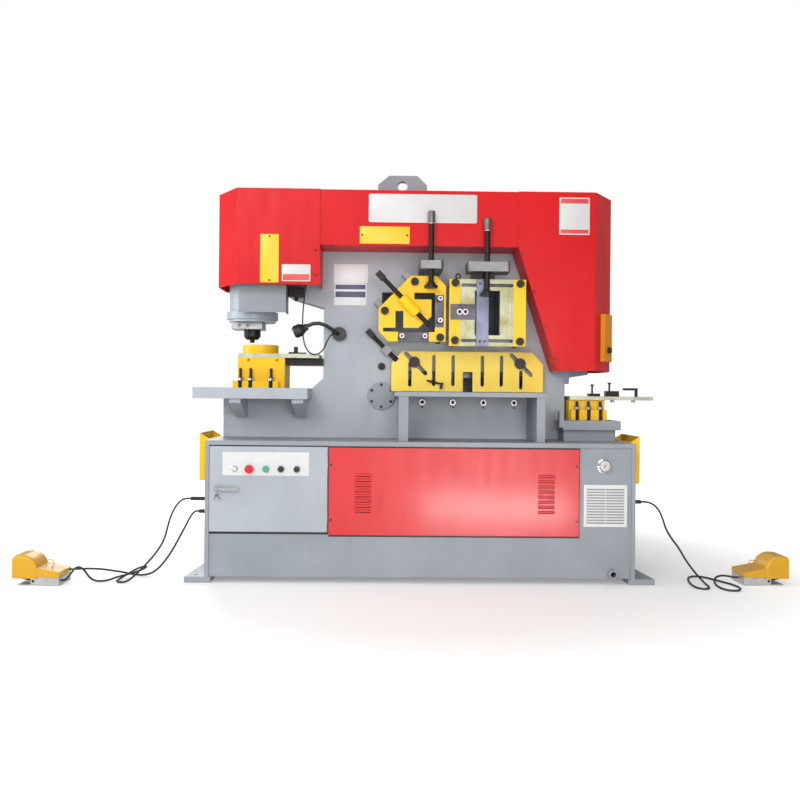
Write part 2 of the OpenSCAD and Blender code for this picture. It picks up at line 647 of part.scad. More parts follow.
module pedal_at(s) translate(s < 0 ? [-base_x - 662, -550, 0] : [base_x + 540, -445, 0]) mirror([s < 0 ? 1 : 0, 0, 0]) children();
// Side of a pedal: extruded across its width, from y0 to y1
module across(y0, y1) translate([0, y1, 0]) rotate([90, 0, 0]) linear_extrude(y1 - y0) children();
// Side of the rounded hood, drawn in by k at its top and back
module hood_side(k) polygon(concat([[pedal_l - 118 + k, 34], [pedal_l, 34], [pedal_l, 134 - k], [pedal_l - 10, 141 - k]],
    [for (a = [90 : 10 : 180]) [pedal_l - 45 + (73 - k) * cos(a), 71 + (73 - k) * sin(a)]]));
module pedal_base() {
    bx(0, pedal_l - 119, 0, pedal_w, 0, 37);
    bx(3, pedal_l - 122, 3, pedal_w - 3, 36, 41);
    bx(pedal_l - 120, pedal_l - 22, 12, pedal_w - 12, 0, 4);
    for (y = [11, pedal_w - 19]) difference() {
        bx(pedal_l - 120, pedal_l - 84, y, y + 8, 3, 33);
        rod_y(pedal_l - 95, 20, y - 1, y + 9, 6 + clr);
    }
}
module pedal_bases() color(steel) {
    pedal_at(-1) pedal_base();
    pedal_at(1) pedal_base();
}
module pedal_hood() {
    difference() {
        hull() {
            across(0, pedal_w) hood_side(14);
            across(4, pedal_w - 4) hood_side(4);
            across(14, pedal_w - 14) hood_side(0);
        }
        across(9, pedal_w - 9) translate([0.5, -1]) hood_side(8);
    }
    across(0, pedal_w) polygon([[0, 41], [pedal_l - 111, 41], [pedal_l - 111, 85], [0, 63]]);
    // Wire ring to hang the pedal up
    translate([pedal_l - 150, pedal_w / 2, 92]) rotate([90, 0, 0]) rotate_extrude($fn = 32) translate([19, 0]) circle(r = 2.5, $fn = 16);
}
module pedal_hoods() color(orange) {
    pedal_at(-1) pedal_hood();
    pedal_at(1) pedal_hood();
}
module treadle() {
    rod_y(pedal_l - 95, 20, 11.5, pedal_w - 11.5, 6);
    translate([pedal_l - 95, 0, 20]) rotate([0, -12, 0]) bx(0, 84, 24, pedal_w - 24, -4, 4);
}
module left_treadle() color(black) pedal_at(-1) treadle();
module right_treadle() color(black) pedal_at(1) treadle();

module gland(s, z, l) {
    rod_x(-300, z, s > 0 ? base_x : -base_x - 22, s > 0 ? base_x + 22 : -base_x, 17);
    rod_x(-300, z, s > 0 ? base_x : -base_x - l, s > 0 ? base_x + l : -base_x, 10);
}
module cable_glands() color(black) lift() {
    gland(-1, 390, 98);
    gland(-1, 327, 56);
    gland(1, 390, 68);
}
module left_cord() color(black) sweep(laid(left_route, 13, -1), cord_d);
module left_cord_rear() color(black) sweep(laid(rear_route, 11, -1), cord_d);
module right_cord() color(black) sweep(laid(right_route, 14, 1), cord_d);
module lamp_cord() color(black) lift() sweep(lamp_route, 7);

module punch_ram() color(silver) lift() {
    rod_z(punch_x, 0, 1280, 1460, ram_r);
    difference() {
        bx(punch_x - 100, punch_x + 62, -75, 75, 1258, 1294);
        for (x = [-950, -906]) rod_y(x, 1276, -76, -60, 9);
    }
}
module punch() color(black) lift() {
    rod_z(punch_x, 0, 1222, 1258, nut_r);
    translate([punch_x, 0, 1206]) cylinder(r1 = nut_r * 0.7, r2 = nut_r, h = 16);
    rod_z(punch_x, 0, 1190, 1207, tip_r);
}

module holddown(x, top, pad_z, pad_r, r) {
    rod_z(x, screw_y, pad_z + 24, top, r);
    rod_z(x, screw_y, top - 60, top, r + 4);
    rod_z(x, screw_y, pad_z, pad_z + 14, pad_r);
    rod_z(x, screw_y, pad_z + 13, pad_z + 25, pad_r * 0.7);
    translate([x, screw_y, pad_z + 25]) cylinder(r1 = r + 5, r2 = r, h = 12);
}
module angle_screw() color(black) lift() holddown(45, 1841, 1456, 34, hold_r);
module bar_screw() color(black) lift() holddown(326, 1808, 1419, 34, 14);
module diagonal_screw() color(black) lift() diagonal(diagonal_nut, screw_y + 10) {
    rod_x(0, 0, -232, 146, 11.5);
    bx(-232, -186, -16, 16, -16, 16);
}
module bar_strap() color(steel) lift() {
    bx(278, 340, tool_y - 12 - clr, tool_y - clr, 1171, 1509);
    for (x = [293, 324], z = [1198, 1479]) rod_y(x, z, tool_y - 1, tool_back, 7);
}
module flat_guard() color(yellow) lift() wall(guard_y, guard_y + guard_t) difference() {
    polygon([[-148, 1085], [-94, 1148], [589, 1148], [648, 1084], [648, 938], [-148, 938]]);
    for (p = guard_knobs) slot2(p + [-44, 44], p + [58, -58], 11);
    for (s = [[-51, 972, 1082], [74, 976, 1120], [175, 976, 1120], [329, 976, 1120], [429, 976, 1120], [532, 962, 1044]])
        slot2([s[0], s[1]], [s[0], s[2]], 9);
    rect2(227, 278, 937, 1042);
    translate(guard_block) rotate(-45) translate([20, -14]) square([56, 28]);
}
module guard_screw() color(black) lift() {
    guard_lever();
    diagonal(guard_block, guard_y + guard_t / 2) adjusting_screw();
}
module adjusting_screw() {
    rod_x(0, 0, -145, 62, 11);
    bx(-145, -100, -15, 15, -15, 15);
    rod_x(0, 0, 52, 76, 13);
}
// Clamp lever on the guard's face
module guard_lever() {
    rod_y(62, 990, guard_y - 22, guard_y, 8);
    translate([62, guard_y - 16, 990]) rotate([0, 13, 0]) rod_x(0, 0, -26, 58, 5);
    translate([62, guard_y - 16, 990]) rotate([0, 13, 0]) bx(48, 62, -8, 8, -26, 8);
}
module shear_beam() color(steel) lift() wall(-beam_t / 2, beam_t / 2) difference() {
    union() {
        translate([pivot_x, pivot_z]) circle(r = 112);
        polygon([[-300, 900], [-290, 1300], [-180, 1560], [150, 1590], [560, 1560], [688, 1330], [722, beam_pad],
            [825, beam_pad], [905, 1045], [905, 1036], [806, 1020], [803, 986], [757, 986], [740, 1030], [-60, 1000],
            [-100, 900]]);
    }
    translate([pivot_x, pivot_z]) circle(r = pivot_r + clr);
    rect2(angle_win[0], angle_win[1], angle_win[2], angle_win[3]);
    rect2(bar_win[0] - 8, bar_win[1] + 8, bar_win[2] - 8, bar_win[3] + 8);
}
module beam_blades() color(black) lift() {
    bx(-50, 550, -gap_half + 1, -beam_t / 2, 1046, 1090);
    bx(-204, 86, -gap_half + 1, -beam_t / 2, angle_win[3], angle_win[3] + 40);
}
module shear_rod() color(silver) lift() rod_z(shear_x, 0, beam_pad + 2.2, 1520, 28);

module cabinet_door() color(paint_grey) lift() difference() {
    union() {
        bx(door_x0, door_x1, face_y - 8, face_y - clr, door_z0, door_z0 + door_h);
        for (z = [door_z0 + 50, door_z0 + door_h - 110]) rod_z(door_x1, face_y - 8, z, z + 60, 3.5);
    }
    for (x = [stop_x, start_x, selector_x[0], selector_x[1]]) rod_y(x, button_z, face_y - 9, face_y, 11);
    rod_y(handle[0], handle[1], face_y - 9, face_y, 9);
}
module control_plate() color(white) lift() difference() {
    bx(door_x0 + 63, door_x0 + 482, face_y - 10, face_y - 8, 521, 635);
    for (x = [stop_x, start_x, selector_x[0], selector_x[1]]) rod_y(x, button_z, face_y - 11, face_y, 11);
}
module door_handle() color(silver) lift() {
    rod_y(handle[0], handle[1], face_y - 22, face_y - 8 - clr, 20);
    rod_y(handle[0], handle[1], face_y - 10, face_y + 10, 8.6);
    bx(handle[0] - 10, handle[0] + 100, face_y - 30, face_y - 20, handle[1] - 9, handle[1] + 9);
}
module button(x, r, depth) {
    rod_y(x, button_z, face_y - 10 - depth, face_y + 20, 10.6);
    rod_y(x, button_z, face_y - 10 - depth - 10, face_y - 10 - depth + 1, r);
}
module stop_button() color(red) lift() button(stop_x, stop_r, 12);
module start_button() color("#20a060") lift() button(start_x, start_r, 7);
module selector(x) {
    rod_y(x, button_z, face_y - 11, face_y + 20, 10.6);
    rod_y(x, button_z, face_y - 22, face_y - 10 - clr, 13);
    bx(x - 4, x + 4, face_y - 34, face_y - 21, button_z - 13, button_z + 13);
}
module left_selector() color(black) lift() selector(selector_x[0]);
module right_selector() color(black) lift() selector(selector_x[1]);

base_cabinet();
front_panel();
vent_grille();
pressure_gauge();
side_pockets();
front_frame_plate();
rear_frame_plate();
punch_table();
shear_table();
notch_table();
punch_cylinder();
punch_guard();
punch_bolster();
black_fittings();
punch_support();
left_cover();
top_cover();
right_cover();
tool_plates();
fixed_blades();
screw_blocks();
bar_shear_plate();
rear_chutes();
guard_clamp_bolts();
frame_spacers();
shear_cylinder();
notch_die();
notch_support();
limit_bracket();
work_lamp();
electric_plate();
motor_pump();
pedal_bases();
pedal_hoods();
cable_glands();
left_cord();
left_cord_rear();
right_cord();
lamp_cord();
punch_ram();
punch();
angle_screw();
diagonal_screw();
bar_screw();
bar_strap();
flat_guard();
guard_screw();
shear_beam();
beam_blades();
shear_rod();
limit_knob();
cabinet_door();
control_plate();
door_handle();
stop_button();
start_button();
left_selector();
right_selector();
left_treadle();
right_treadle();
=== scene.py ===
"""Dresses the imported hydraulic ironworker: finishes, sign plates, screws, dial, trim, cords and studio."""

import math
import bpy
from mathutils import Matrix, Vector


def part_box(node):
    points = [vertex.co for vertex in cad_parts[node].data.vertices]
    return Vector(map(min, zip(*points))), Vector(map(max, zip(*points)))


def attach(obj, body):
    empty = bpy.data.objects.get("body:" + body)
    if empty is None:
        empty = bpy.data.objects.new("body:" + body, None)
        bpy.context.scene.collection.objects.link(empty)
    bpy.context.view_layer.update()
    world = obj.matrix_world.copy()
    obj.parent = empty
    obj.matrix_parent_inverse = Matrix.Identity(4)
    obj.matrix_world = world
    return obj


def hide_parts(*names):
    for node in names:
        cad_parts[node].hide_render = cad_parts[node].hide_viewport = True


bl_info = {
    "name": "Ironworker dressing",
    "version": (1, 0, 0),
    "blender": (4, 5, 0),
    "location": "View3D > Sidebar > Ironworker",
    "description": "Finishes, sign plates, screws, dial, trim, cords and studio of a hydraulic ironworker",
    "category": "Object",
}

from functools import partial

import bmesh
import bpy
from bpy.props import FloatProperty, FloatVectorProperty, PointerProperty
from mathutils import Matrix, Vector

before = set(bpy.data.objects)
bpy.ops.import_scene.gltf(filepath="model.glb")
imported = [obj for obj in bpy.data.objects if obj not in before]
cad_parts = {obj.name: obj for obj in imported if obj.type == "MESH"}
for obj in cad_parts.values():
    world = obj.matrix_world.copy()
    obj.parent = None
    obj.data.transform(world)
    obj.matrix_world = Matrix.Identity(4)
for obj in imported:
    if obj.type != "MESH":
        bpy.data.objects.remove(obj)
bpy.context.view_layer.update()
MM = 0.001
FACE_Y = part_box("front_panel")[1][1]
COVER_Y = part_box("left_cover")[0][1]
TOP_COVER_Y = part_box("top_cover")[0][1]
FRAME_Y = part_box("front_frame_plate")[0][1]
DOOR_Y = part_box("control_plate")[0][1]

# Metres: sheet of the louvred panel, thickness of a label, and where pieces without a node of their own sit
PANEL_THICK = 0.006
LABEL_THICK = 0.0008
PILOT_X = -0.906
CLAMP_STUD_Y = -0.150
DIAL_Y = FACE_Y - 0.012
WINDOW_Y = FACE_Y - 0.0162
LAMP_MOUTH = Vector((-0.655, -0.152, 1.236))
LAMP_TILT = math.radians(65)
# The lock, in metres: how far in from the handle's left end, and how far in front of it the keys hang
LOCK_INSET = 0.020
KEYS_FORWARD = 0.0125
# Edges that turn less than this are shaded smooth
SMOOTH_ANGLE = math.radians(35)
# The gauge's scale: marks, degrees of the first, degrees between two, and the last black one
DIAL_MARKS = 21
DIAL_START = 225
DIAL_STEP = 13.5
DIAL_LAST_BLACK = 15
# Hold-down screws: middle of the screw in metres, radius of its end in millimetres
HOLD_DOWN_ENDS = {"angle_screw": (0.045, 18.4), "bar_screw": (0.326, 18.9)}
# Hold-down screws: how far the worn end and its ring start below the top, in metres
END_LENGTH = 0.0592
RING_DEPTH = 0.0628
# Places of screws and bolts, x and z in millimetres
COVER_SCREWS = [(-537, 1644), (-537, 1518), (508, 1640), (570, 1448), (628, 1271), (682, 1106)]
PANEL_SCREWS = [(-438, 577), (-438, 308), (761, 577), (761, 308)]
VENT_SCREWS = [(802, 290), (1001, 290), (802, 482), (1001, 482)]
STRAP_SCREWS = [(296, 1194), (296, 1486), (321, 1194), (321, 1486)]
BLADE_BOLTS = [(92, 1403), (92, 1294), (-99, 1214), (16, 1214)]
BLOCK_BORES = [(194, 1343), (223, 1343)]
FLAT_BOLTS = [(16, 882), (178, 882), (340, 882), (502, 882)]
FLAT_SET_SCREWS = [(18, 855), (180, 855), (342, 855), (504, 855)]
# Nuts of the die clamps: x, z and half the width over the corners, in millimetres
CLAMP_NUTS = [(-930, 986, 16), (-877, 986, 16), (-772, 986, 16), (822, 852, 15), (882, 852, 15),
              (944, 852, 15)]
# The photo's camera: place in metres, pan and roll in radians, width and horizon's offset in pixels
CAMERA_PLACE = (-0.184, -4.83, 0.925)
CAMERA_PAN = math.radians(-1.0)
CAMERA_ROLL = 0.0098
PHOTO_WIDTH = 800
HORIZON_OFFSET = -6.3

# Cord routes in millimetres, the same points as in the part's source
LEFT_ROUTE = [
    (-1148.5, -300, 390), (-1164, -300, 390), (-1181, -300, 387), (-1197, -300, 378.5), (-1212, -300, 364),
    (-1228, -300, 341), (-1245, -301, 305), (-1259, -305, 258), (-1272, -317, 200), (-1291, -340, 152),
    (-1362, -405, 57), (-1393, -439, 25), (-1411, -461, 11), (-1429, -475, 5.8), (-1449, -476, 5.6),
    (-1465, -461, 5.6), (-1471, -432, 5.6), (-1469, -390, 6.2), (-1456, -352, 13), (-1430, -328, 28),
    (-1400, -320, 43), (-1376, -325, 51), (-1358, -339, 55), (-1354, -358, 54), (-1365, -376, 49),
    (-1390, -387, 39), (-1430, -402, 28), (-1475, -430, 20), (-1512, -448, 9), (-1542, -453, 5.8),
    (-1570, -456, 7.5), (-1592, -466, 23), (-1618, -481, 63), (-1630, -488, 75.5), (-1643, -496, 79.5),
    (-1655, -503, 73), (-1666, -509.5, 58.5), (-1684.6, -518, 31.5), (-1693, -519.8, 24.8),
    (-1702, -520, 22), (-1711.5, -520, 22),
]
REAR_ROUTE = [
    (-1106.5, -300, 327), (-1118, -300, 327), (-1130, -300, 322), (-1140.5, -300, 312),
    (-1150, -300, 297.5), (-1172, -300, 255), (-1205, -300, 192), (-1240, -300, 128), (-1280, -300, 70),
    (-1318, -300, 30), (-1350, -300, 12), (-1382, -300.5, 5.8), (-1418, -304, 7.5), (-1450, -314, 15),
    (-1482, -332, 26), (-1520, -352, 36), (-1565, -370, 46), (-1610, -384, 51), (-1650, -396, 53),
    (-1678, -402.5, 52.6), (-1696, -405, 52), (-1711.5, -405, 52),
]
RIGHT_ROUTE = [
    (1118.5, -300, 390), (1134, -300, 390), (1154, -300, 388), (1176, -300, 380), (1197, -300, 364),
    (1216, -300, 338), (1232, -300, 300), (1246, -302, 258), (1271, -305, 213), (1308, -312, 161),
    (1343, -334, 97), (1373, -367, 49), (1391, -405, 22), (1398, -447, 9), (1397, -490, 5.6),
    (1388, -526, 5.6), (1370, -548, 5.6), (1348, -548, 5.6), (1332, -528, 5.6), (1326, -490, 5.6),
    (1332, -420, 5.6), (1350, -340, 5.6), (1371, -287, 5.6), (1397, -258, 5.6), (1427, -255, 5.6),
    (1454, -279, 5.6), (1481, -330, 5.6), (1508, -392, 5.6), (1531, -455, 5.6), (1537, -515, 5.6),
    (1525, -560, 5.6), (1500, -585, 5.6), (1470, -582, 5.6), (1450, -556, 5.6), (1443, -508, 5.6),
    (1448, -447, 8), (1461, -399, 16), (1483, -368, 26), (1513, -357, 31), (1545, -359, 28.5),
    (1572, -362, 24.5), (1589.5, -362, 24),
]
LAMP_ROUTE = [
    (-596, -150, 1500), (-600, -150, 1450), (-607, -150, 1385), (-611, -150, 1320), (-611, -150, 1260),
    (-606, -150, 1205), (-592, -150, 1158), (-568, -150, 1130), (-538, -148, 1126), (-512, -142, 1142),
    (-494, -132, 1172), (-480, -120, 1206), (-466, -106, 1228), (-454, -95, 1236),
]


def linear(code):
    """The linear colour, with alpha, of an sRGB hex code."""
    parts = [int(code[i:i + 2], 16) / 255 for i in (1, 3, 5)]
    return [c / 12.92 if c <= 0.04045 else ((c + 0.055) / 1.055) ** 2.4 for c in parts] + [1.0]


def feed(node, inputs):
    """Sets a node's inputs: values, output sockets that feed them, or nodes for their first outputs."""
    for key, value in inputs.items():
        if isinstance(value, bpy.types.Node):
            value = value.outputs[0]
        if isinstance(value, bpy.types.NodeSocket):
            node.id_data.links.new(value, node.inputs[key])
        else:
            node.inputs[key].default_value = value


def add_node(tree, kind, inputs=None, **settings):
    """Adds a node with its settings and inputs."""
    node = tree.nodes.new(kind)
    for key, value in settings.items():
        setattr(node, key, value)
    feed(node, inputs or {})
    return node


def blank_material(name):
    """A material with its shader on the output, what adds nodes to it, and its wearer's own coordinates."""
    mat = bpy.data.materials.new(name)
    mat.use_nodes = True
    mat.node_tree.nodes.clear()
    add = partial(add_node, mat.node_tree)
    shader = add("ShaderNodeBsdfPrincipled")
    add("ShaderNodeOutputMaterial", {0: shader})
    coords = add("ShaderNodeTexCoord")
    return mat, add, shader, coords.outputs["Object"]


# Two-pack machine enamel, sprayed over filler: an even colour with slow cloudy shifts, a soft orange peel,
# a fine dulling film where hands and oil have been, faces that point up darkened towards the dust colour,
# and edges painted paler, partly as rub wear and partly as a painted highlight where rounded edges catch the
# light
def sprayed_enamel(name, code, shade, dust, rough, gloss_level=0.3, coat=0.06):
    mat, add, shader, where = blank_material(name)
    # Clouds about 400 mm across
    cloud = add("ShaderNodeTexNoise", {"Vector": where, "Scale": 2.5, "Detail": 5.0, "Roughness": 0.62})
    film = add("ShaderNodeMapRange", {"Value": cloud, "From Min": 0.35, "From Max": 0.72})
    tone = add("ShaderNodeMix", {0: film, 6: linear(code), 7: linear(shade)}, data_type="RGBA")
    # Smears about 60 mm wide, drawn out downwards to 250 mm
    stretch = add("ShaderNodeMapping", {"Vector": where, "Scale": (16.0, 16.0, 4.0)})
    smear = add("ShaderNodeTexNoise", {"Vector": stretch, "Scale": 1.0, "Detail": 6.0, "Roughness": 0.7})
    grime = add("ShaderNodeMapRange", {"Value": smear, "From Min": 0.56, "From Max": 0.8, "To Max": 0.22})
    dirty = add("ShaderNodeMix", {0: grime, 6: tone.outputs[2], 7: linear(dust)}, data_type="RGBA")
    # Faces that point up are darkened towards the dust colour
    normal = add("ShaderNodeNewGeometry")
    split = add("ShaderNodeSeparateXYZ", {0: normal.outputs["True Normal"]})
    level = add("ShaderNodeMapRange", {"Value": split.outputs[2], "From Min": 0.9, "From Max": 1.0,
                                       "To Max": 0.9})
    upward_amount = add("ShaderNodeMath", {0: level, 1: cloud}, operation="MULTIPLY")
    upward_darkened = add("ShaderNodeMix", {0: upward_amount, 6: dirty.outputs[2], 7: linear(dust)}, data_type="RGBA")
    # Edges are painted paler about 4 mm wide: partly rub wear, partly a painted highlight where rounded edges
    # catch the light
    edge = add("ShaderNodeBevel", {"Radius": 0.004}, samples=4)
    turn = add("ShaderNodeVectorMath", {0: edge, 1: normal.outputs["True Normal"]}, operation="DOT_PRODUCT")
    rub = add("ShaderNodeMapRange", {"Value": turn.outputs["Value"], "From Min": 0.975, "From Max": 0.85,
                                     "To Max": 0.9})
    thin = add("ShaderNodeMath", {0: rub, 1: smear}, operation="MULTIPLY")
    pale = [min(1.0, c * 1.3 + 0.05) for c in linear(code)[:3]] + [1.0]
    # The paler edge colour is partly wear and partly a painted highlight
    edge_wear_and_highlight_colour = add("ShaderNodeMix", {0: thin, 6: upward_darkened.outputs[2], 7: pale}, data_type="RGBA")
    gloss = add("ShaderNodeMapRange", {"Value": smear, "From Min": 0.3, "From Max": 0.75,
                                       "To Min": rough - 0.06, "To Max": rough + 0.14})
    # Orange peel is about 3 mm; drawn at 11 mm so that it shows
    peel = add("ShaderNodeTexNoise", {"Vector": where, "Scale": 90.0, "Detail": 2.0})
    bump = add("ShaderNodeBump", {"Height": peel, "Strength": 0.12, "Distance": 0.0012, "Normal": edge})
    feed(shader, {
        "Base Color": edge_wear_and_highlight_colour.outputs[2], "Roughness": gloss, "Normal": bump, "IOR": 1.5,
        "Specular IOR Level": gloss_level, "Coat Weight": coat, "Coat Roughness": 0.18,
    })
    return mat


# Machined steel left bare: fine grinding lines along one way, a thin oil film with faint stains
def ground_steel(name, code, stain, rough, lines=(25.0, 500.0, 500.0), depth=0.1):
    mat, add, shader, where = blank_material(name)
    # Grinding lines are about 0.2 mm apart; drawn 2 mm apart so that they show, and 9 mm on the oiled plate
    stretch = add("ShaderNodeMapping", {"Vector": where, "Scale": lines})
    grind = add("ShaderNodeTexNoise", {"Vector": stretch, "Scale": 1.0, "Detail": 4.0, "Roughness": 0.6})
    # Oil stains about 80 mm across
    oil = add("ShaderNodeTexNoise", {"Vector": where, "Scale": 12.0, "Detail": 5.0, "Roughness": 0.65})
    film = add("ShaderNodeMapRange", {"Value": oil, "From Min": 0.42, "From Max": 0.7})
    tone = add("ShaderNodeMix", {0: film, 6: linear(code), 7: linear(stain)}, data_type="RGBA")
    streak = add("ShaderNodeMapRange", {"Value": grind, "From Min": 0.3, "From Max": 0.7,
                                        "To Min": 1.0 - depth, "To Max": 1.0 + depth / 2})
    lined = add("ShaderNodeMix", {0: 1.0, 6: tone.outputs[2], 7: streak}, data_type="RGBA",
                blend_type="MULTIPLY")
    gloss = add("ShaderNodeMapRange", {"Value": grind, "From Min": 0.3, "From Max": 0.7,
                                       "To Min": rough - 0.08, "To Max": rough + 0.12})
    edge = add("ShaderNodeBevel", {"Radius": 0.0015}, samples=4)
    bump = add("ShaderNodeBump", {"Height": grind, "Strength": 0.1, "Distance": 0.0006, "Normal": edge})
    feed(shader, {"Base Color": lined.outputs[2], "Roughness": gloss, "Normal": bump, "Metallic": 1.0})
    return mat


# Black oxide on steel screws and clamps: near black with a warm cast, satin, oiled, rubbed paler on its edges
def black_oxide(name, code, worn):
    mat, add, shader, where = blank_material(name)
    # Handling marks about 15 mm across
    mark = add("ShaderNodeTexNoise", {"Vector": where, "Scale": 65.0, "Detail": 5.0, "Roughness": 0.7})
    geometry = add("ShaderNodeNewGeometry")
    edge = add("ShaderNodeBevel", {"Radius": 0.003}, samples=4)
    turn = add("ShaderNodeVectorMath", {0: edge, 1: geometry.outputs["True Normal"]},
               operation="DOT_PRODUCT")
    rub = add("ShaderNodeMapRange", {"Value": turn.outputs["Value"], "From Min": 0.995, "From Max": 0.9,
                                     "To Max": 0.7})
    handled = add("ShaderNodeMath", {0: rub, 1: mark}, operation="MULTIPLY")
    tone = add("ShaderNodeMix", {0: handled, 6: linear(code), 7: linear(worn)}, data_type="RGBA")
    gloss = add("ShaderNodeMapRange", {"Value": mark, "From Min": 0.3, "From Max": 0.7, "To Min": 0.34,
                                       "To Max": 0.52})
    bump = add("ShaderNodeBump", {"Height": mark, "Strength": 0.08, "Distance": 0.0008, "Normal": edge})
    feed(shader, {"Base Color": tone.outputs[2], "Roughness": gloss, "Normal": bump, "Metallic": 0.7})
    return mat


# Moulded ABS and polyamide: one colour through, a fine spark-eroded grain and a low sheen
def moulded_plastic(name, code, rough, grain):
    mat, add, shader, where = blank_material(name)
    # The grain is about 0.3 mm; drawn at 2.5 mm so that it shows
    pit = add("ShaderNodeTexNoise", {"Vector": where, "Scale": 400.0, "Detail": 2.0})
    # Scuffs about 33 mm across
    scuff = add("ShaderNodeTexNoise", {"Vector": where, "Scale": 30.0, "Detail": 5.0, "Roughness": 0.7})
    pale = [min(1.0, c * 1.25 + 0.01) for c in linear(code)[:3]] + [1.0]
    amount = add("ShaderNodeMapRange", {"Value": scuff, "From Min": 0.5, "From Max": 0.8, "To Max": 0.35})
    tone = add("ShaderNodeMix", {0: amount, 6: linear(code), 7: pale}, data_type="RGBA")
    gloss = add("ShaderNodeMapRange", {"Value": scuff, "From Min": 0.3, "From Max": 0.75,
                                       "To Min": rough - 0.05, "To Max": rough + 0.12})
    bump = add("ShaderNodeBump", {"Height": pit, "Strength": grain, "Distance": 0.0005})
    feed(shader, {"Base Color": tone.outputs[2], "Roughness": gloss, "Normal": bump, "IOR": 1.53})
    return mat


# Bright chrome plate on a die casting: mirror-like, with a faint haze of finger marks
def chrome_plate(name):
    mat, add, shader, where = blank_material(name)
    # Finger marks about 12 mm across
    haze = add("ShaderNodeTexNoise", {"Vector": where, "Scale": 80.0, "Detail": 4.0})
    gloss = add("ShaderNodeMapRange", {"Value": haze, "From Min": 0.35, "From Max": 0.7, "To Min": 0.08,
                                       "To Max": 0.26})
    feed(shader, {"Base Color": linear("#B9BBBF"), "Roughness": gloss, "Metallic": 1.0})
    return mat


# Screen-printed aluminium sheet: a flat even ink, lightly satin, with faint handling marks
def printed_sheet(name, code):
    mat, add, shader, where = blank_material(name)
    # Handling marks about 50 mm across
    mark = add("ShaderNodeTexNoise", {"Vector": where, "Scale": 20.0, "Detail": 6.0, "Roughness": 0.7})
    grey = [c * 0.86 for c in linear(code)[:3]] + [1.0]
    amount = add("ShaderNodeMapRange", {"Value": mark, "From Min": 0.45, "From Max": 0.8, "To Max": 0.5})
    tone = add("ShaderNodeMix", {0: amount, 6: linear(code), 7: grey}, data_type="RGBA")
    gloss = add("ShaderNodeMapRange", {"Value": mark, "From Min": 0.3, "From Max": 0.75, "To Min": 0.3,
                                       "To Max": 0.48})
    feed(shader, {"Base Color": tone.outputs[2], "Roughness": gloss, "IOR": 1.49})
    return mat


# Clear acrylic of the dial window: a thin sheet that only shows where it catches the light
def clear_acrylic(name, code):
    mat, add, shader, where = blank_material(name)
    # Wiping marks about 10 mm apart
    wipe = add("ShaderNodeTexNoise", {"Vector": where, "Scale": 100.0, "Detail": 3.0})
    gloss = add("ShaderNodeMapRange", {"Value": wipe, "To Min": 0.04, "To Max": 0.14})
    feed(shader, {"Base Color": linear(code), "Roughness": gloss, "Alpha": 0.1, "IOR": 1.49})
    return mat


# Oil-resistant rubber cord sheath: dull black with a slight chalky bloom
def cord_rubber(name):
    mat, add, shader, where = blank_material(name)
    # Bloom in patches about 25 mm long
    bloom = add("ShaderNodeTexNoise", {"Vector": where, "Scale": 40.0, "Detail": 5.0})
    tone = add("ShaderNodeMix", {0: bloom, 6: linear("#16171A"), 7: linear("#2C2E33")}, data_type="RGBA")
    gloss = add("ShaderNodeMapRange", {"Value": bloom, "To Min": 0.45, "To Max": 0.68})
    feed(shader, {"Base Color": tone.outputs[2], "Roughness": gloss, "IOR": 1.52})
    return mat


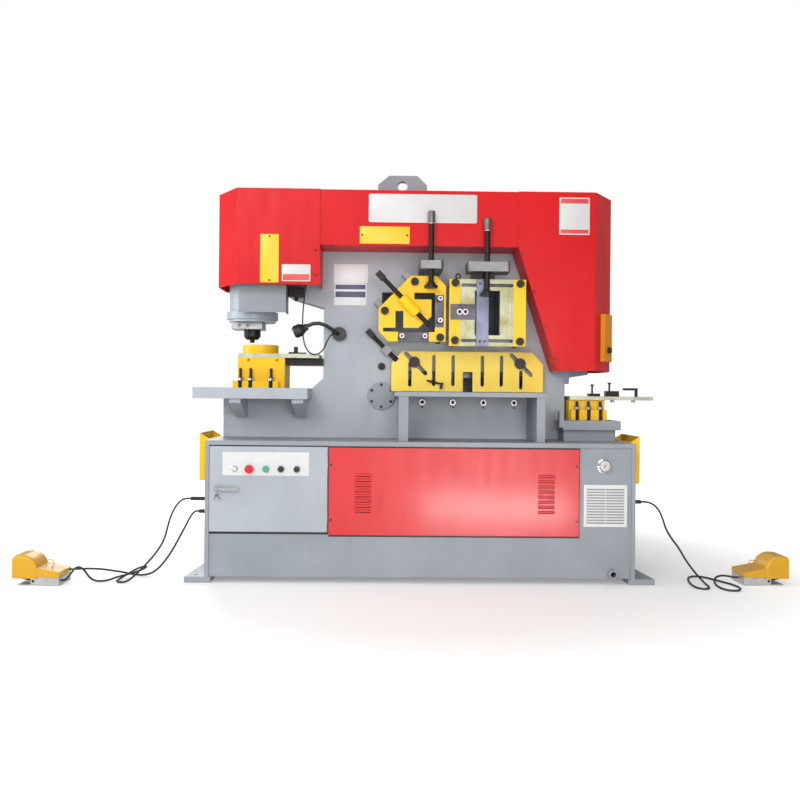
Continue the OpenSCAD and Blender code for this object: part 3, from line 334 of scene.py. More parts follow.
# Each finish: the function that makes it, and what it is given after its name
FINISHES = {
    "grey_enamel": (sprayed_enamel, "#9AA0A8", "#8C9299", "#857D77", 0.44),
    # A lighter copy of the grey enamel: its lighter colour paints extra light onto the frame plates, punch
    # table and door
    "light_grey_enamel": (sprayed_enamel, "#B4BAC2", "#A7ADB5", "#8C847C", 0.42),
    "red_enamel": (sprayed_enamel, "#D60F17", "#CA0B13", "#961A1E", 0.4, 0.2, 0.03),
    "gloss_red_enamel": (sprayed_enamel, "#DB1018", "#CF0C14", "#961A1E", 0.42, 0.5, 0.35),
    "pale_enamel": (sprayed_enamel, "#ADB5BE", "#A3ABB4", "#958F89", 0.36),
    "yellow_enamel": (sprayed_enamel, "#FFCC10", "#FAC20A", "#B48C14", 0.42),
    "lemon_enamel": (sprayed_enamel, "#FFE052", "#FFDA40", "#C9A224", 0.4),
    "amber_enamel": (sprayed_enamel, "#E0AA2C", "#D6A024", "#9C7A2C", 0.4),
    "orange_enamel": (sprayed_enamel, "#E29612", "#D88A0C", "#8F6A22", 0.44, 0.2, 0.03),
    "black_oxide_steel": (black_oxide, "#292524", "#8C8784"),
    "milled_steel": (ground_steel, "#CFD0D0", "#BBBAB7", 0.42),
    "block_steel": (ground_steel, "#868687", "#75736F", 0.46),
    "ram_steel": (ground_steel, "#A6A7A9", "#8F8E8C", 0.44),
    "support_steel": (ground_steel, "#B6B7A8", "#9C9B88", 0.46),
    "worn_steel": (ground_steel, "#7C736D", "#5E5650", 0.46),
    "oiled_steel": (ground_steel, "#ADAC94", "#908B5A", 0.46, (110.0, 110.0, 5.0), 0.34),
    "phosphated_steel": (ground_steel, "#7F8294", "#666876", 0.48, (400.0, 400.0, 30.0)),
    "tool_steel": (ground_steel, "#5A575E", "#3E3C42", 0.4, (30.0, 500.0, 500.0)),
    "white_abs": (moulded_plastic, "#DADBDC", 0.42, 0.06),
    "black_abs": (moulded_plastic, "#1C1C1D", 0.44, 0.1),
    "red_abs": (moulded_plastic, "#D0222A", 0.28, 0.03),
    "green_abs": (moulded_plastic, "#35A886", 0.28, 0.03),
    "chrome_plate": (chrome_plate,),
    "sheath_rubber": (cord_rubber,),
    "white_sheet": (printed_sheet, "#D6D4D4"),
    "silver_sheet": (printed_sheet, "#E4E6E8"),
    "yellow_sheet": (printed_sheet, "#FDC81E"),
    "red_sheet": (printed_sheet, "#DC4A48"),
    "blue_sheet": (printed_sheet, "#4A4A6C"),
    "seal_rubber": (moulded_plastic, "#1A1B22", 0.6, 0.1),
    "filter_felt": (moulded_plastic, "#A2A29F", 0.8, 0.3),
    "clear_acrylic": (clear_acrylic, "#F4F7F8"),
}
MADE = {}


def finish(name):
    """The material of that finish, made the first time it is asked for."""
    if name not in MADE:
        maker, *values = FINISHES[name]
        MADE[name] = maker(name, *values)
    return MADE[name]


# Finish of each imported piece
NODE_FINISHES = {
    "grey_enamel": [
        "base_cabinet", "shear_table", "notch_table", "rear_chutes", "frame_spacers", "shear_cylinder",
        "motor_pump", "punch_guard",
    ],
    # The frame plates, punch table and door wear the lighter grey copy, which paints extra light on them
    "light_grey_enamel": ["front_frame_plate", "rear_frame_plate", "punch_table", "cabinet_door"],
    "red_enamel": ["left_cover", "top_cover", "right_cover"],
    "gloss_red_enamel": ["front_panel"],
    "pale_enamel": ["punch_cylinder"],
    "yellow_enamel": ["punch_bolster", "tool_plates", "notch_die", "side_pockets"],
    "lemon_enamel": ["flat_guard"],
    "amber_enamel": ["pedal_hoods"],
    "orange_enamel": ["limit_bracket"],
    "black_oxide_steel": [
        "black_fittings", "guard_clamp_bolts", "punch", "angle_screw", "diagonal_screw", "bar_screw",
        "guard_screw", "left_treadle", "right_treadle",
    ],
    "milled_steel": ["electric_plate", "shear_rod", "pedal_bases"],
    "support_steel": ["punch_support", "notch_support"],
    "block_steel": ["screw_blocks"],
    "ram_steel": ["punch_ram"],
    "oiled_steel": ["bar_shear_plate"],
    "phosphated_steel": ["bar_strap", "shear_beam"],
    "tool_steel": ["fixed_blades", "beam_blades"],
    "white_abs": ["vent_grille", "control_plate"],
    "black_abs": ["limit_knob", "work_lamp", "cable_glands", "left_selector", "right_selector"],
    "red_abs": ["stop_button"],
    "green_abs": ["start_button"],
    "chrome_plate": ["pressure_gauge", "door_handle"],
    "sheath_rubber": ["left_cord", "left_cord_rear", "right_cord", "lamp_cord"],
}


def wear(obj, name):
    """Puts a finish on a new piece."""
    obj.data.materials.clear()
    obj.data.materials.append(finish(name))


def clear_selection():
    """Leaves edit mode and selects nothing."""
    if bpy.context.object and bpy.context.object.mode != "OBJECT":
        bpy.ops.object.mode_set(mode="OBJECT")
    bpy.ops.object.select_all(action="DESELECT")


def pick_edges(obj, test):
    """In edit mode, selects the edges whose two ends pass the test."""
    bpy.ops.mesh.select_mode(type="EDGE")
    mesh = bmesh.from_edit_mesh(obj.data)
    for item in mesh.edges:
        item.select_set(False)
    for item in mesh.edges:
        if test(item.verts[0].co, item.verts[1].co):
            item.select_set(True)
    bmesh.update_edit_mesh(obj.data)


def close_open_rims():
    """In edit mode, caps every open rim and turns all faces outwards."""
    bpy.ops.mesh.select_mode(type="EDGE")
    bpy.ops.mesh.select_all(action="DESELECT")
    bpy.ops.mesh.select_non_manifold(extend=False, use_wire=False, use_multi_face=False,
                                     use_non_contiguous=False, use_verts=False)
    bpy.ops.mesh.edge_face_add()
    bpy.ops.mesh.select_all(action="SELECT")
    bpy.ops.mesh.normals_make_consistent(inside=False)


def stamped_plate(name, x0, x1, z0, z1, back, thick, corner, lip, material):
    """A thin plate facing the front, with rounded corners and an eased edge. Millimetres; back in metres."""
    clear_selection()
    middle = ((x0 + x1) / 2 * MM, back - thick * MM / 2, (z0 + z1) / 2 * MM)
    sides = ((x1 - x0) * MM, thick * MM, (z1 - z0) * MM)
    bpy.ops.mesh.primitive_cube_add(size=1, location=middle, scale=sides)
    obj = bpy.context.object
    obj.name = name
    obj.data.name = name
    bpy.ops.object.transform_apply()
    bpy.ops.object.mode_set(mode="EDIT")
    pick_edges(obj, lambda a, b: abs(a.y - b.y) > thick * MM / 2)
    bpy.ops.mesh.bevel(offset=corner * MM, segments=5, affect="EDGES")
    front = back - thick * MM
    pick_edges(obj, lambda a, b: abs(a.y - front) < 1e-5 and abs(b.y - front) < 1e-5)
    bpy.ops.mesh.bevel(offset=lip * MM, segments=2, affect="EDGES")
    bpy.ops.object.mode_set(mode="OBJECT")
    bpy.ops.object.shade_smooth_by_angle(angle=SMOOTH_ANGLE)
    wear(obj, material)
    return obj


def turned_piece(name, place, steps, material, sides=28):
    """A turned piece that stands out to the front. Each step is (radius, way forward) in millimetres."""
    clear_selection()
    radius = steps[0][0]
    bpy.ops.mesh.primitive_circle_add(vertices=sides, radius=radius * MM, fill_type="NGON", location=place,
                                      rotation=(math.pi / 2, 0, 0))
    obj = bpy.context.object
    obj.name = name
    obj.data.name = name
    bpy.ops.object.transform_apply()
    bpy.ops.object.mode_set(mode="EDIT")
    bpy.ops.mesh.select_mode(type="FACE")
    bpy.ops.mesh.select_all(action="SELECT")
    y = place[1]
    for width, way in steps:
        bpy.ops.mesh.extrude_region_move(TRANSFORM_OT_translate={"value": (0, -way * MM, 0)})
        y -= way * MM
        ratio = width / radius
        if abs(ratio - 1) > 1e-6:
            bpy.ops.transform.resize(value=(ratio, 1, ratio), center_override=(place[0], y, place[2]))
        radius = width
    close_open_rims()
    bpy.ops.object.mode_set(mode="OBJECT")
    bpy.ops.object.shade_smooth_by_angle(angle=SMOOTH_ANGLE)
    wear(obj, material)
    return obj


def turned_to(obj, way, place):
    """Turns a finished piece so that its front faces along way, and moves it to a place in metres."""
    turn = Vector(way).to_track_quat("-Y", "Z").to_matrix().to_4x4()
    obj.data.transform(Matrix.Translation(place) @ turn)
    return obj


def moved_copy(obj, name, shift):
    """A copy with its own mesh, moved by a shift in metres."""
    clear_selection()
    bpy.context.view_layer.objects.active = obj
    obj.select_set(True)
    bpy.ops.object.duplicate(linked=False)
    new = bpy.context.object
    new.name = name
    new.data.name = name
    bpy.ops.transform.translate(value=shift)
    bpy.ops.object.transform_apply()
    return new


def joined(objs, name):
    """Like pieces joined into one."""
    clear_selection()
    for obj in objs:
        obj.select_set(True)
    bpy.context.view_layer.objects.active = objs[0]
    bpy.ops.object.join()
    objs[0].name = name
    objs[0].data.name = name
    return objs[0]


def screw_row(name, places, wall, radius, head, material="black_oxide_steel", body="frame", way=(0, -1, 0)):
    """Socket-headed screws at each (x, z) place, on a wall in metres, with their heads along way."""
    x, z = places[0]
    first = turned_piece(name, (0, 0, 0), [
        (radius, head * 0.82), (radius * 0.9, head * 0.18), (radius * 0.55, 0.0),
        (radius * 0.5, -head * 0.5),
    ], material, sides=20)
    turned_to(first, way, (x * MM, wall, z * MM))
    rest = [moved_copy(first, name, ((a - x) * MM, 0, (b - z) * MM)) for a, b in places[1:]]
    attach(joined([first] + rest, name), body)


class IronworkerSizes(bpy.types.PropertyGroup):
    """Sizes that a user would change."""

    sign_thick: FloatProperty(
        name="Sign thickness", description="Thickness of the sign plates", default=0.002, unit="LENGTH")
    screw_radius: FloatProperty(
        name="Cover screw radius", description="Radius of the cover screws' heads", default=0.005,
        unit="LENGTH")
    cord_diameter: FloatProperty(
        name="Pedal cord diameter", description="Diameter of the pedal cords", default=0.010, unit="LENGTH")
    lamp_cord_diameter: FloatProperty(
        name="Lamp cord diameter", description="Diameter of the lamp's cord", default=0.007, unit="LENGTH")


class IronworkerStudio(bpy.types.PropertyGroup):
    """Colours and strengths of the studio."""

    floor: FloatVectorProperty(
        name="Floor", description="Colour of the floor", default=linear("#DADAD8"), size=4, subtype="COLOR",
        min=0, max=1)
    floor_glow: FloatProperty(
        name="Floor glow", description="Light that the floor gives by itself", default=0.15, min=0)
    sky: FloatProperty(
        name="Room light", description="Strength of the light from all round", default=0.45, min=0)
    floor_look: FloatProperty(
        name="Floor look", description="Glow of the floor as the camera sees it", default=0.24, min=0)
    key: FloatProperty(
        name="Key light", description="Power of the large front light", default=142.0, min=0,
        subtype="POWER")
    fill: FloatProperty(
        name="Fill light", description="Power of the second front light", default=70.0, min=0,
        subtype="POWER")
    side: FloatProperty(
        name="Side light", description="Power of the light on the left", default=75.0, min=0,
        subtype="POWER")
    rear: FloatProperty(
        name="Rear light", description="Power of the light behind", default=100.0, min=0, subtype="POWER")
    glare: FloatProperty(
        name="Panel glare", description="Power of the low light that only reflections show", default=19.0,
        min=0, subtype="POWER")
    top: FloatProperty(
        name="Top light", description="Power of the light overhead", default=40.0, min=0, subtype="POWER")


def area_light(name, power, place, target, size):
    """A soft rectangular light at a place, turned to a target."""
    data = bpy.data.lights.new(name, "AREA")
    data.energy = power
    data.shape = "RECTANGLE"
    data.size = size[0]
    data.size_y = size[1]
    obj = bpy.data.objects.new(name, data)
    bpy.context.scene.collection.objects.link(obj)
    obj.location = place
    obj.rotation_euler = (Vector(place) - Vector(target)).to_track_quat("Z", "Y").to_euler()
    return obj


class IRONWORKER_OT_stage(bpy.types.Operator):
    """Camera, floor and soft studio light"""

    bl_idname = "ironworker.stage"
    bl_label = "Studio"

    def execute(self, context):
        studio = context.scene.ironworker_studio
        data = bpy.data.cameras.new("photo_camera")
        data.sensor_fit = "HORIZONTAL"
        data.sensor_width = 36.0
        data.lens = 40.5
        data.shift_y = HORIZON_OFFSET / PHOTO_WIDTH
        data.clip_end = 200.0
        camera = bpy.data.objects.new("photo_camera", data)
        context.scene.collection.objects.link(camera)
        turn = (Matrix.Rotation(CAMERA_PAN, 4, "Z") @ Matrix.Rotation(math.radians(90), 4, "X")
                @ Matrix.Rotation(CAMERA_ROLL, 4, "Z"))
        camera.matrix_world = Matrix.Translation(CAMERA_PLACE) @ turn
        context.scene.camera = camera

        clear_selection()
        bpy.ops.mesh.primitive_plane_add(size=60, location=(0, 0, -0.001))
        floor = context.object
        floor.name = "studio_floor"
        mat, add, shader, where = blank_material("pale_studio_floor")
        # The floor looks white, and lights the object more softly than it looks
        seen = add("ShaderNodeLightPath")
        away = add("ShaderNodeVectorMath", {0: where}, operation="LENGTH")
        # Fades to plain white from 1.2 m to 3.3 m away
        fade = add("ShaderNodeMapRange", {"Value": away.outputs["Value"], "From Min": 1.2, "From Max": 3.3,
                                          "To Min": studio.floor_look, "To Max": 1.0},
                   interpolation_type="SMOOTHSTEP")
        glow = add("ShaderNodeMapRange", {"Value": seen.outputs["Is Camera Ray"],
                                          "To Min": studio.floor_glow, "To Max": fade})
        feed(shader, {"Base Color": studio.floor, "Roughness": 0.6, "Emission Color": (1.0, 1.0, 1.0, 1.0),
                      "Emission Strength": glow})
        floor.data.materials.append(mat)

        # A black card to the right, out of the picture, keeps that side darker
        clear_selection()
        bpy.ops.mesh.primitive_plane_add(size=1, location=(3.0, -0.6, 1.3), rotation=(0, math.pi / 2, 0),
                                         scale=(2.6, 3.2, 1))
        card = context.object
        card.name = "studio_card"
        mat, _, shader, _ = blank_material("black_card")
        feed(shader, {"Base Color": linear("#202020"), "Roughness": 0.9})
        card.data.materials.append(mat)
        card.visible_camera = False

        world = bpy.data.worlds.new("studio_room")
        world.use_nodes = True
        # The room looks white, and lights the object more softly than it looks
        room = world.node_tree
        back = room.nodes["Background"]
        path = add_node(room, "ShaderNodeLightPath")
        glow = add_node(room, "ShaderNodeMapRange", {"Value": path.outputs["Is Camera Ray"],
                                                     "To Min": studio.sky})
        feed(back, {"Color": (1.0, 1.0, 1.0, 1.0), "Strength": glow})
        context.scene.world = world
        area_light("key_softbox", studio.key, (-2.2, -6.0, 3.5), (0, 0, 1.0), (2.6, 2.2))
        area_light("side_softbox", studio.side, (-4.3, -0.8, 1.9), (-1.0, -0.3, 1.5), (1.6, 2.2))
        area_light("fill_softbox", studio.fill, (0.7, -5.7, 1.45), (0, 0, 1.0), (1.6, 1.2))
        area_light("top_softbox", studio.top, (0, -0.4, 4.6), (0, 0, 1.0), (4.0, 2.4))
        area_light("rear_softbox", studio.rear, (-2.4, 5.4, 2.4), (0, 0, 1.0), (2.6, 2.2))
        # A low light below the picture's edge, for its reflection in the gloss panel alone
        low = area_light("low_softbox", studio.glare, (0.68, -2.95, 0.06), (0.3, -0.44, 0.36), (1.1, 0.12))
        low.visible_diffuse = False
        low.visible_camera = False
        context.scene.view_settings.view_transform = "Standard"
        return {"FINISHED"}


class IRONWORKER_OT_cords(bpy.types.Operator):
    """Pedal cords and the lamp's cord"""

    bl_idname = "ironworker.cords"
    bl_label = "Cords"

    def execute(self, context):
        sizes = context.scene.ironworker_sizes
        for node, route, thick, stiffness, lay in [
            ("left_cord", LEFT_ROUTE, sizes.cord_diameter, "limp", "loose"),
            ("left_cord_rear", REAR_ROUTE, sizes.cord_diameter, "limp", "loose"),
            ("right_cord", RIGHT_ROUTE, sizes.cord_diameter, "limp", "loose"),
            ("lamp_cord", LAMP_ROUTE, sizes.lamp_cord_diameter, "medium", "hanging"),
        ]:
            data = bpy.data.curves.new(node + "_sheath", "CURVE")
            data.dimensions = "3D"
            data.bevel_depth = thick / 2
            data.bevel_resolution = 4
            data.resolution_u = 10
            data.use_fill_caps = True
            line = data.splines.new("BEZIER")
            line.bezier_points.add(len(route) - 1)
            for point, place in zip(line.bezier_points, route):
                point.co = [v * MM for v in place]
                point.handle_left_type = "AUTO"
                point.handle_right_type = "AUTO"
            obj = bpy.data.objects.new(node + "_sheath", data)
            context.scene.collection.objects.link(obj)
            wear(obj, "sheath_rubber")
            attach(obj, "frame")
            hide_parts(node)
            context.view_layer.update()
        return {"FINISHED"}


class IRONWORKER_OT_finishes(bpy.types.Operator):
    """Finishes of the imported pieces"""

    bl_idname = "ironworker.finishes"
    bl_label = "Finishes"

    def execute(self, context):
        left = set(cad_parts)
        for name, nodes in NODE_FINISHES.items():
            for node in nodes:
                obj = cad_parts[node]
                if not obj.material_slots:
                    raise RuntimeError(node + " has no material slot")
                for slot in obj.material_slots:
                    slot.link = "OBJECT"
                    slot.material = finish(name)
                left.discard(node)
        if left:
            raise RuntimeError("no finish for " + ", ".join(sorted(left)))
        return {"FINISHED"}


class IRONWORKER_OT_signs(bpy.types.Operator):
    """Bare sign plates on the covers and the frame"""

    bl_idname = "ironworker.signs"
    bl_label = "Sign plates"

    def execute(self, context):
        thick = context.scene.ironworker_sizes.sign_thick / MM
        plates = [
            ("name_plate", -271, 276, 1789, 1933, TOP_COVER_Y, thick, 9, "white_sheet"),
            ("left_plate", -815, -722, 1479, 1722, COVER_Y, thick, 4, "yellow_sheet"),
            ("top_plate", -315, -64, 1681, 1768, TOP_COVER_Y, thick, 4, "yellow_sheet"),
            ("left_label", -706, -562, 1486, 1571, COVER_Y, 0.8, 3, "white_sheet"),
            ("left_label_field", -700, -568, 1491, 1522, COVER_Y - LABEL_THICK, 0.3, 1, "red_sheet"),
            ("right_label", 693, 847, 1738, 1926, COVER_Y, 0.8, 3, "white_sheet"),
            ("right_label_head", 699, 841, 1896, 1920, COVER_Y - LABEL_THICK, 0.3, 1, "red_sheet"),
            ("right_label_foot", 699, 841, 1744, 1764, COVER_Y - LABEL_THICK, 0.3, 1, "red_sheet"),
            ("data_plate_upper", -456, -276, 1508, 1607, FRAME_Y, 0.8, 3, "silver_sheet"),
            ("data_plate_lower", -453, -283, 1390, 1506, FRAME_Y, 0.8, 3, "silver_sheet"),
            ("data_band_upper", -447, -289, 1474, 1498, FRAME_Y - LABEL_THICK, 0.3, 1, "blue_sheet"),
            ("data_band_lower", -447, -289, 1432, 1462, FRAME_Y - LABEL_THICK, 0.3, 1, "blue_sheet"),
        ]
        for name, x0, x1, z0, z1, back, depth, corner, material in plates:
            piece = stamped_plate(name, x0, x1, z0, z1, back, depth, corner, depth * 0.3, material)
            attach(piece, "frame")
        for name, places, wall in [
            ("left_plate_screws", [(-768, 1711), (-768, 1490)], COVER_Y),
            ("top_plate_screws", [(-303, 1724), (-76, 1724)], TOP_COVER_Y),
        ]:
            screw_row(name, places, wall - thick * MM, 5, 3)
        return {"FINISHED"}


class IRONWORKER_OT_screws(bpy.types.Operator):
    """Screws of the covers, the louvred panel and the vent"""

    bl_idname = "ironworker.screws"
    bl_label = "Screws"

    def execute(self, context):
        radius = context.scene.ironworker_sizes.screw_radius / MM
        screw_row("cover_screws", COVER_SCREWS, COVER_Y, radius, 4)
        screw_row("panel_screws", PANEL_SCREWS, FACE_Y - PANEL_THICK, radius, 4)
        screw_row("vent_screws", VENT_SCREWS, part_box("vent_grille")[0][1], 4, 2, "milled_steel")
        return {"FINISHED"}


class IRONWORKER_OT_rear_trim(bpy.types.Operator):
    """Access panel at the back of the cabinet, and the screws of the back"""

    bl_idname = "ironworker.rear_trim"
    bl_label = "Rear trim"

    def execute(self, context):
        radius = context.scene.ironworker_sizes.screw_radius / MM
        back = (0, 1, 0)
        wall = -FACE_Y
        thick = 3.0
        seal = stamped_plate("rear_seal", -706, 706, 234, 646, 0, 1.2, 6, 0.3, "seal_rubber")
        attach(turned_to(seal, back, (0, wall, 0)), "frame")
        panel = stamped_plate("rear_panel", -700, 700, 240, 640, 0, thick, 10, 1.2, "light_grey_enamel")
        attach(turned_to(panel, back, (0, wall, 0)), "frame")
        places = [(x, z) for x in (-680, -230, 230, 680) for z in (260, 620)]
        screw_row("rear_panel_screws", places, wall + thick * MM, radius + 1, 4, way=back)
        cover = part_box("left_cover")[1][1]
        screw_row("rear_cover_screws", COVER_SCREWS, cover, radius, 4, way=back)
        return {"FINISHED"}


class IRONWORKER_OT_gauge(bpy.types.Operator):
    """Dial, scale, pointer and window of the pressure gauge"""

    bl_idname = "ironworker.gauge"
    bl_label = "Pressure gauge"

    def execute(self, context):
        low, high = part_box("pressure_gauge")
        x = (low[0] + high[0]) / 2
        z = (low[2] + high[2]) / 2
        dial = turned_piece("gauge_dial", (x, DIAL_Y, z), [(28.6, 0.6), (28.2, 0.2)], "white_sheet")
        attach(dial, "frame")
        marks = []
        for k in range(DIAL_MARKS):
            angle = math.radians(DIAL_START - DIAL_STEP * k)
            long = 5.0 if k % 5 == 0 else 3.0
            middle = (25.5 - long / 2) * MM
            mark = stamped_plate("gauge_scale", -long / 2, long / 2, -0.45, 0.45, DIAL_Y - LABEL_THICK, 0.2,
                                 0.1, 0.05, "red_sheet" if k > DIAL_LAST_BLACK else "black_abs")
            spot = Matrix.Translation((x + middle * math.cos(angle), 0, z + middle * math.sin(angle)))
            mark.data.transform(spot @ Matrix.Rotation(-angle, 4, "Y"))
            marks.append(mark)
        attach(joined(marks, "gauge_scale"), "frame")
        rim = turned_piece("gauge_rim", (x, DIAL_Y, z), [(28.9, 2.4), (28.4, 0.6), (26.4, 0.0), (26.2, -2.6)],
                           "black_abs", sides=40)
        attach(rim, "frame")
        pointer = stamped_plate("gauge_pointer", -6, 19, -2.0, 2.0, DIAL_Y - 2 * LABEL_THICK, 0.5, 0.4,
                                0.15, "black_abs")
        clear_selection()
        context.view_layer.objects.active = pointer
        pointer.select_set(True)
        bpy.ops.object.mode_set(mode="EDIT")
        mesh = bmesh.from_edit_mesh(pointer.data)
        for vert in mesh.verts:
            vert.select_set(vert.co.x > 0.015)
        mesh.select_flush_mode()
        bmesh.update_edit_mesh(pointer.data)
        bpy.ops.transform.resize(value=(1, 1, 0.25), center_override=(0.018, DIAL_Y, 0))
        bpy.ops.object.mode_set(mode="OBJECT")
        turn = Matrix.Rotation(math.radians(-DIAL_START), 4, "Y")
        pointer.data.transform(Matrix.Translation((x, 0, z)) @ turn)
        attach(pointer, "frame")
        for name, y, steps, material, sides in [
            ("gauge_hub", DIAL_Y - LABEL_THICK, [(4.2, 1.5), (3.0, 0.6)], "black_abs", 16),
            ("gauge_window", WINDOW_Y, [(28.8, 1.2), (28.0, 0.4)], "clear_acrylic", 40),
        ]:
            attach(turned_piece(name, (x, y, z), steps, material, sides), "frame")
        return {"FINISHED"}


class IRONWORKER_OT_control_trim(bpy.types.Operator):
    """Bezels of the buttons, the pilot lamp, and the keys under the handle"""

    bl_idname = "ironworker.control_trim"
    bl_label = "Control trim"

    def execute(self, context):
        button_z = sum(v[2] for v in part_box("start_button")) / 2
        bezels = []
        for node, outer in [("stop_button", 15.5), ("start_button", 18.0), ("left_selector", 18.0),
                            ("right_selector", 18.0)]:
            low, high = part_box(node)
            x = (low[0] + high[0]) / 2
            inner = 11.4 if node == "stop_button" else 14.6
            bezels.append(turned_piece(node + "_bezel", (x, DOOR_Y, button_z), [
                (outer, 2.4), (outer - 1.2, 1.2), (inner, 0.0), (inner, -3.2),
            ], "chrome_plate", sides=32))
        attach(joined(bezels, "button_bezels"), "door")
        low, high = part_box("door_handle")
        lock_x, lock_z = low[0] + LOCK_INSET, (low[2] + high[2]) / 2
        for name, place, steps, material, sides, body in [
            ("pilot_bezel", (PILOT_X, DOOR_Y, button_z),
             [(15, 2.4), (13.6, 1.2), (11.5, 0.0), (11.5, -2.0)], "chrome_plate", 32, "door"),
            ("pilot_lens", (PILOT_X, DOOR_Y - 0.0012, button_z),
             [(11.2, 3.0), (10.6, 3.0), (8.4, 2.2), (4.2, 1.0)], "white_abs", 32, "door"),
            ("lock_barrel", (lock_x, low[1], lock_z), [(8.4, 3.0), (7.8, 1.0), (5.6, 0.0), (5.6, 1.0)],
             "chrome_plate", 28, "handle"),
        ]:
            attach(turned_piece(name, place, steps, material, sides), body)
        # The key in the lock and the bunch on its ring hang clear in front of the turning handle
        y = low[1] - KEYS_FORWARD
        held = stamped_plate("keys", -7, 7, -8, 8, 0, 1.6, 4, 0.3, "block_steel")
        turned_to(held, (1, 0, 0), (lock_x, y, lock_z))
        clear_selection()
        bpy.ops.mesh.primitive_torus_add(major_radius=0.010, minor_radius=0.0011, major_segments=28,
                                         minor_segments=8, location=(lock_x, y, lock_z - 0.014),
                                         rotation=(math.pi / 2, 0, 0))
        loop = context.object
        bpy.ops.object.transform_apply()
        wear(loop, "chrome_plate")
        parts = [held, loop]
        for turn in (-34, 26):
            bow = stamped_plate("keys", -6, 6, -15, -3, 0, 1.6, 3.5, 0.3, "block_steel")
            blade = stamped_plate("keys", -2.2, 2.2, -33, -13, 0, 1.4, 1.0, 0.2, "block_steel")
            key = joined([bow, blade], "keys")
            swing = Matrix.Rotation(math.radians(turn), 4, "Y")
            key.data.transform(Matrix.Translation((lock_x, y, lock_z - 0.020)) @ swing)
            parts.append(key)
        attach(joined(parts, "keys"), "door")
        return {"FINISHED"}


class IRONWORKER_OT_seams(bpy.types.Operator):
    """Rubber seals around the door and the louvred panel, widened most at the bottom to paint the shadow in
    their gaps, and the filter behind the vent
    """

    bl_idname = "ironworker.seams"
    bl_label = "Seals and filter"

    def execute(self, context):
        low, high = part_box("cabinet_door")
        x0, x1, z0, z1 = low[0] / MM, high[0] / MM, low[2] / MM, high[2] / MM
        low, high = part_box("front_panel")
        p0, p1, q0, q1 = low[0] / MM, high[0] / MM, low[2] / MM, high[2] / MM
        # The black seal strips are wider at the bottom and at the door's left: besides the rubber, they paint
        # the shadow that falls in the gaps
        for name, strips in [
            ("door_seal_and_gap_shadow", [(x0 - 8, x0, z0 - 12, z1 + 6), (x0, x1, z1, z1 + 6), (x0, x1, z0 - 12, z0),
                           (x1, p0, z0 - 12, z1 + 6)]),
            ("panel_seal_and_gap_shadow", [(p0, p1, q1, q1 + 5), (p0, p1, q0 - 8, q0), (p1, p1 + 4, q0 - 8, q1 + 5)]),
        ]:
            parts = [stamped_plate(name, *strip, FACE_Y, 1.2, 0.4, 0.3, "seal_rubber") for strip in strips]
            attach(joined(parts, name), "frame")
        low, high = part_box("vent_grille")
        felt = stamped_plate("vent_filter", low[0] / MM + 8, high[0] / MM - 8, low[2] / MM + 8,
                             high[2] / MM - 8, high[1], 4.0, 1, 0.5, "filter_felt")
        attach(felt, "frame")
        return {"FINISHED"}


class IRONWORKER_OT_tool_trim(bpy.types.Operator):
    """Nuts of the die clamps, rings and sockets of the blade bolts, and worn ends of the hold-down screws"""

    bl_idname = "ironworker.tool_trim"
    bl_label = "Tool trim"

    def execute(self, context):
        up = (0, 0, 1)
        nuts = []
        for x, z, across in CLAMP_NUTS:
            steps = [(across, 1.5), (across, 12.0), (across * 0.85, 1.5)]
            nut = turned_piece("clamp_nuts", (0, 0, 0), steps, "milled_steel", sides=6)
            nuts.append(turned_to(nut, up, (x * MM, CLAMP_STUD_Y, z * MM)))
        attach(joined(nuts, "clamp_nuts"), "frame")
        tool_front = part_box("tool_plates")[0][1]
        block_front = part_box("fixed_blades")[0][1]
        # The blade bolts' sockets lie 7.2 mm out, inside their rings
        socket_front = tool_front - 0.0072
        # The flat blade's bolts stand 12 mm out of the frame, with a set screw under each
        head_front = FRAME_Y - 0.012
        for name, places, front, steps, material, sides in [
            ("blade_rings", BLADE_BOLTS, tool_front, [(12.4, 8.0), (11.6, 0.6), (7.6, 0.0), (7.2, -1.2)],
             "milled_steel", 24),
            ("blade_sockets", BLADE_BOLTS, socket_front, [(7.0, 0.5), (6.6, 0.2)], "black_oxide_steel", 6),
            ("block_rings", BLOCK_BORES, block_front, [(15.0, 1.2), (14.2, 0.6), (10.0, 0.0), (10.0, -1.2)],
             "milled_steel", 28),
            ("block_bores", BLOCK_BORES, block_front, [(9.4, 0.6), (9.0, 0.2)], "black_oxide_steel", 24),
            ("bolt_rims", FLAT_BOLTS, head_front, [(16.6, 0.8), (15.8, 0.6), (10.6, 0.0), (10.6, -1.2)],
             "milled_steel", 28),
            ("bolt_sockets", FLAT_BOLTS, head_front, [(10.2, 0.5), (9.8, 0.2)], "black_oxide_steel", 6),
            ("bolt_plugs", FLAT_SET_SCREWS, FRAME_Y, [(5.2, 1.0), (4.4, 0.6)], "black_oxide_steel", 20),
        ]:
            parts = [turned_piece(name, (x * MM, front, z * MM), steps, material, sides) for x, z in places]
            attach(joined(parts, name), "frame")
        screw_row("strap_screws", STRAP_SCREWS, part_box("bar_strap")[0][1], 6, 1, body="strap")
        for node, (x, radius) in HOLD_DOWN_ENDS.items():
            low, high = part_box(node)
            y = (low[1] + high[1]) / 2
            end = turned_piece(node + "_end", (0, 0, 0), [
                (radius + 0.8, 4.0), (radius, 0.4), (radius, 52.0), (radius - 2.5, 3.4), (radius - 9, 0.0),
                (radius - 9, -0.6),
            ], "worn_steel", sides=32)
            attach(turned_to(end, up, (x, y, high[2] - END_LENGTH)), node)
            ring = turned_piece(node + "_ring", (0, 0, 0), [(radius + 0.6, 3.0), (radius - 0.2, 0.6)],
                                "milled_steel", sides=32)
            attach(turned_to(ring, up, (x, y, high[2] - RING_DEPTH)), node)
        return {"FINISHED"}


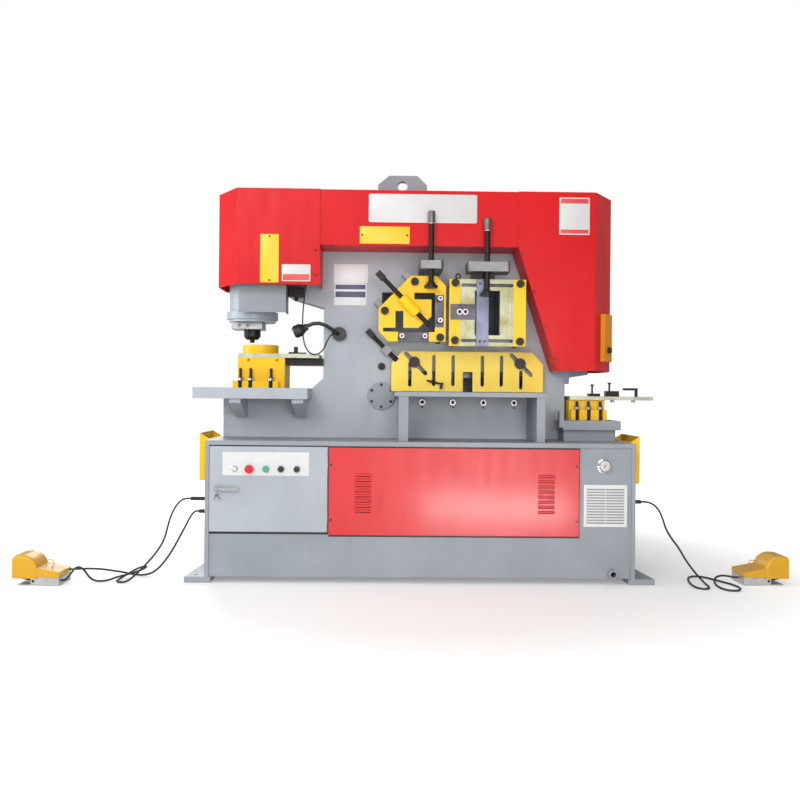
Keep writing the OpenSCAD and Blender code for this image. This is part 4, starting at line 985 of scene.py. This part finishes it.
class IRONWORKER_OT_lamp(bpy.types.Operator):
    """Rim and lens of the work lamp"""

    bl_idname = "ironworker.lamp"
    bl_label = "Work lamp"

    def execute(self, context):
        way = Vector((-math.sin(LAMP_TILT), 0, -math.cos(LAMP_TILT)))
        for name, steps, behind, material in [
            ("lamp_lens", [(22.8, 2.0), (21.5, 1.0), (15.0, 1.0), (6.0, 0.4)], 0.0079, "white_abs"),
            ("lamp_rim", [(27.6, 1.0), (27.0, 1.4), (24.0, 0.0), (23.4, -2.0)], 0.0006, "black_abs"),
        ]:
            piece = turned_piece(name, (0, 0, 0), steps, material, sides=36)
            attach(turned_to(piece, way, LAMP_MOUTH - way * behind), "frame")
        return {"FINISHED"}


class IRONWORKER_PT_panel(bpy.types.Panel):
    """Shows the ironworker's sizes, studio settings and the buttons of its steps"""

    bl_idname = "IRONWORKER_PT_panel"
    bl_label = "Ironworker"
    bl_space_type = "VIEW_3D"
    bl_region_type = "UI"
    bl_category = "Ironworker"

    def draw(self, context):
        for group in (context.scene.ironworker_sizes, context.scene.ironworker_studio):
            for key in group.__annotations__:
                self.layout.prop(group, key)
        for operator in OPERATORS:
            self.layout.operator(operator.bl_idname)


OPERATORS = (
    IRONWORKER_OT_stage,
    IRONWORKER_OT_cords,
    IRONWORKER_OT_finishes,
    IRONWORKER_OT_signs,
    IRONWORKER_OT_screws,
    IRONWORKER_OT_rear_trim,
    IRONWORKER_OT_gauge,
    IRONWORKER_OT_control_trim,
    IRONWORKER_OT_seams,
    IRONWORKER_OT_tool_trim,
    IRONWORKER_OT_lamp,
)
CLASSES = (IronworkerSizes, IronworkerStudio) + OPERATORS + (IRONWORKER_PT_panel,)


def register():
    for item in CLASSES:
        bpy.utils.register_class(item)
    bpy.types.Scene.ironworker_sizes = PointerProperty(type=IronworkerSizes)
    bpy.types.Scene.ironworker_studio = PointerProperty(type=IronworkerStudio)


def unregister():
    del bpy.types.Scene.ironworker_studio
    del bpy.types.Scene.ironworker_sizes
    for item in reversed(CLASSES):
        bpy.utils.unregister_class(item)


def main():
    register()
    bpy.ops.ironworker.stage()
    bpy.ops.ironworker.cords()
    bpy.ops.ironworker.finishes()
    bpy.ops.ironworker.signs()
    bpy.ops.ironworker.screws()
    bpy.ops.ironworker.rear_trim()
    bpy.ops.ironworker.gauge()
    bpy.ops.ironworker.control_trim()
    bpy.ops.ironworker.seams()
    bpy.ops.ironworker.tool_trim()
    bpy.ops.ironworker.lamp()
    clear_selection()


if __name__ == "__main__":
    main()
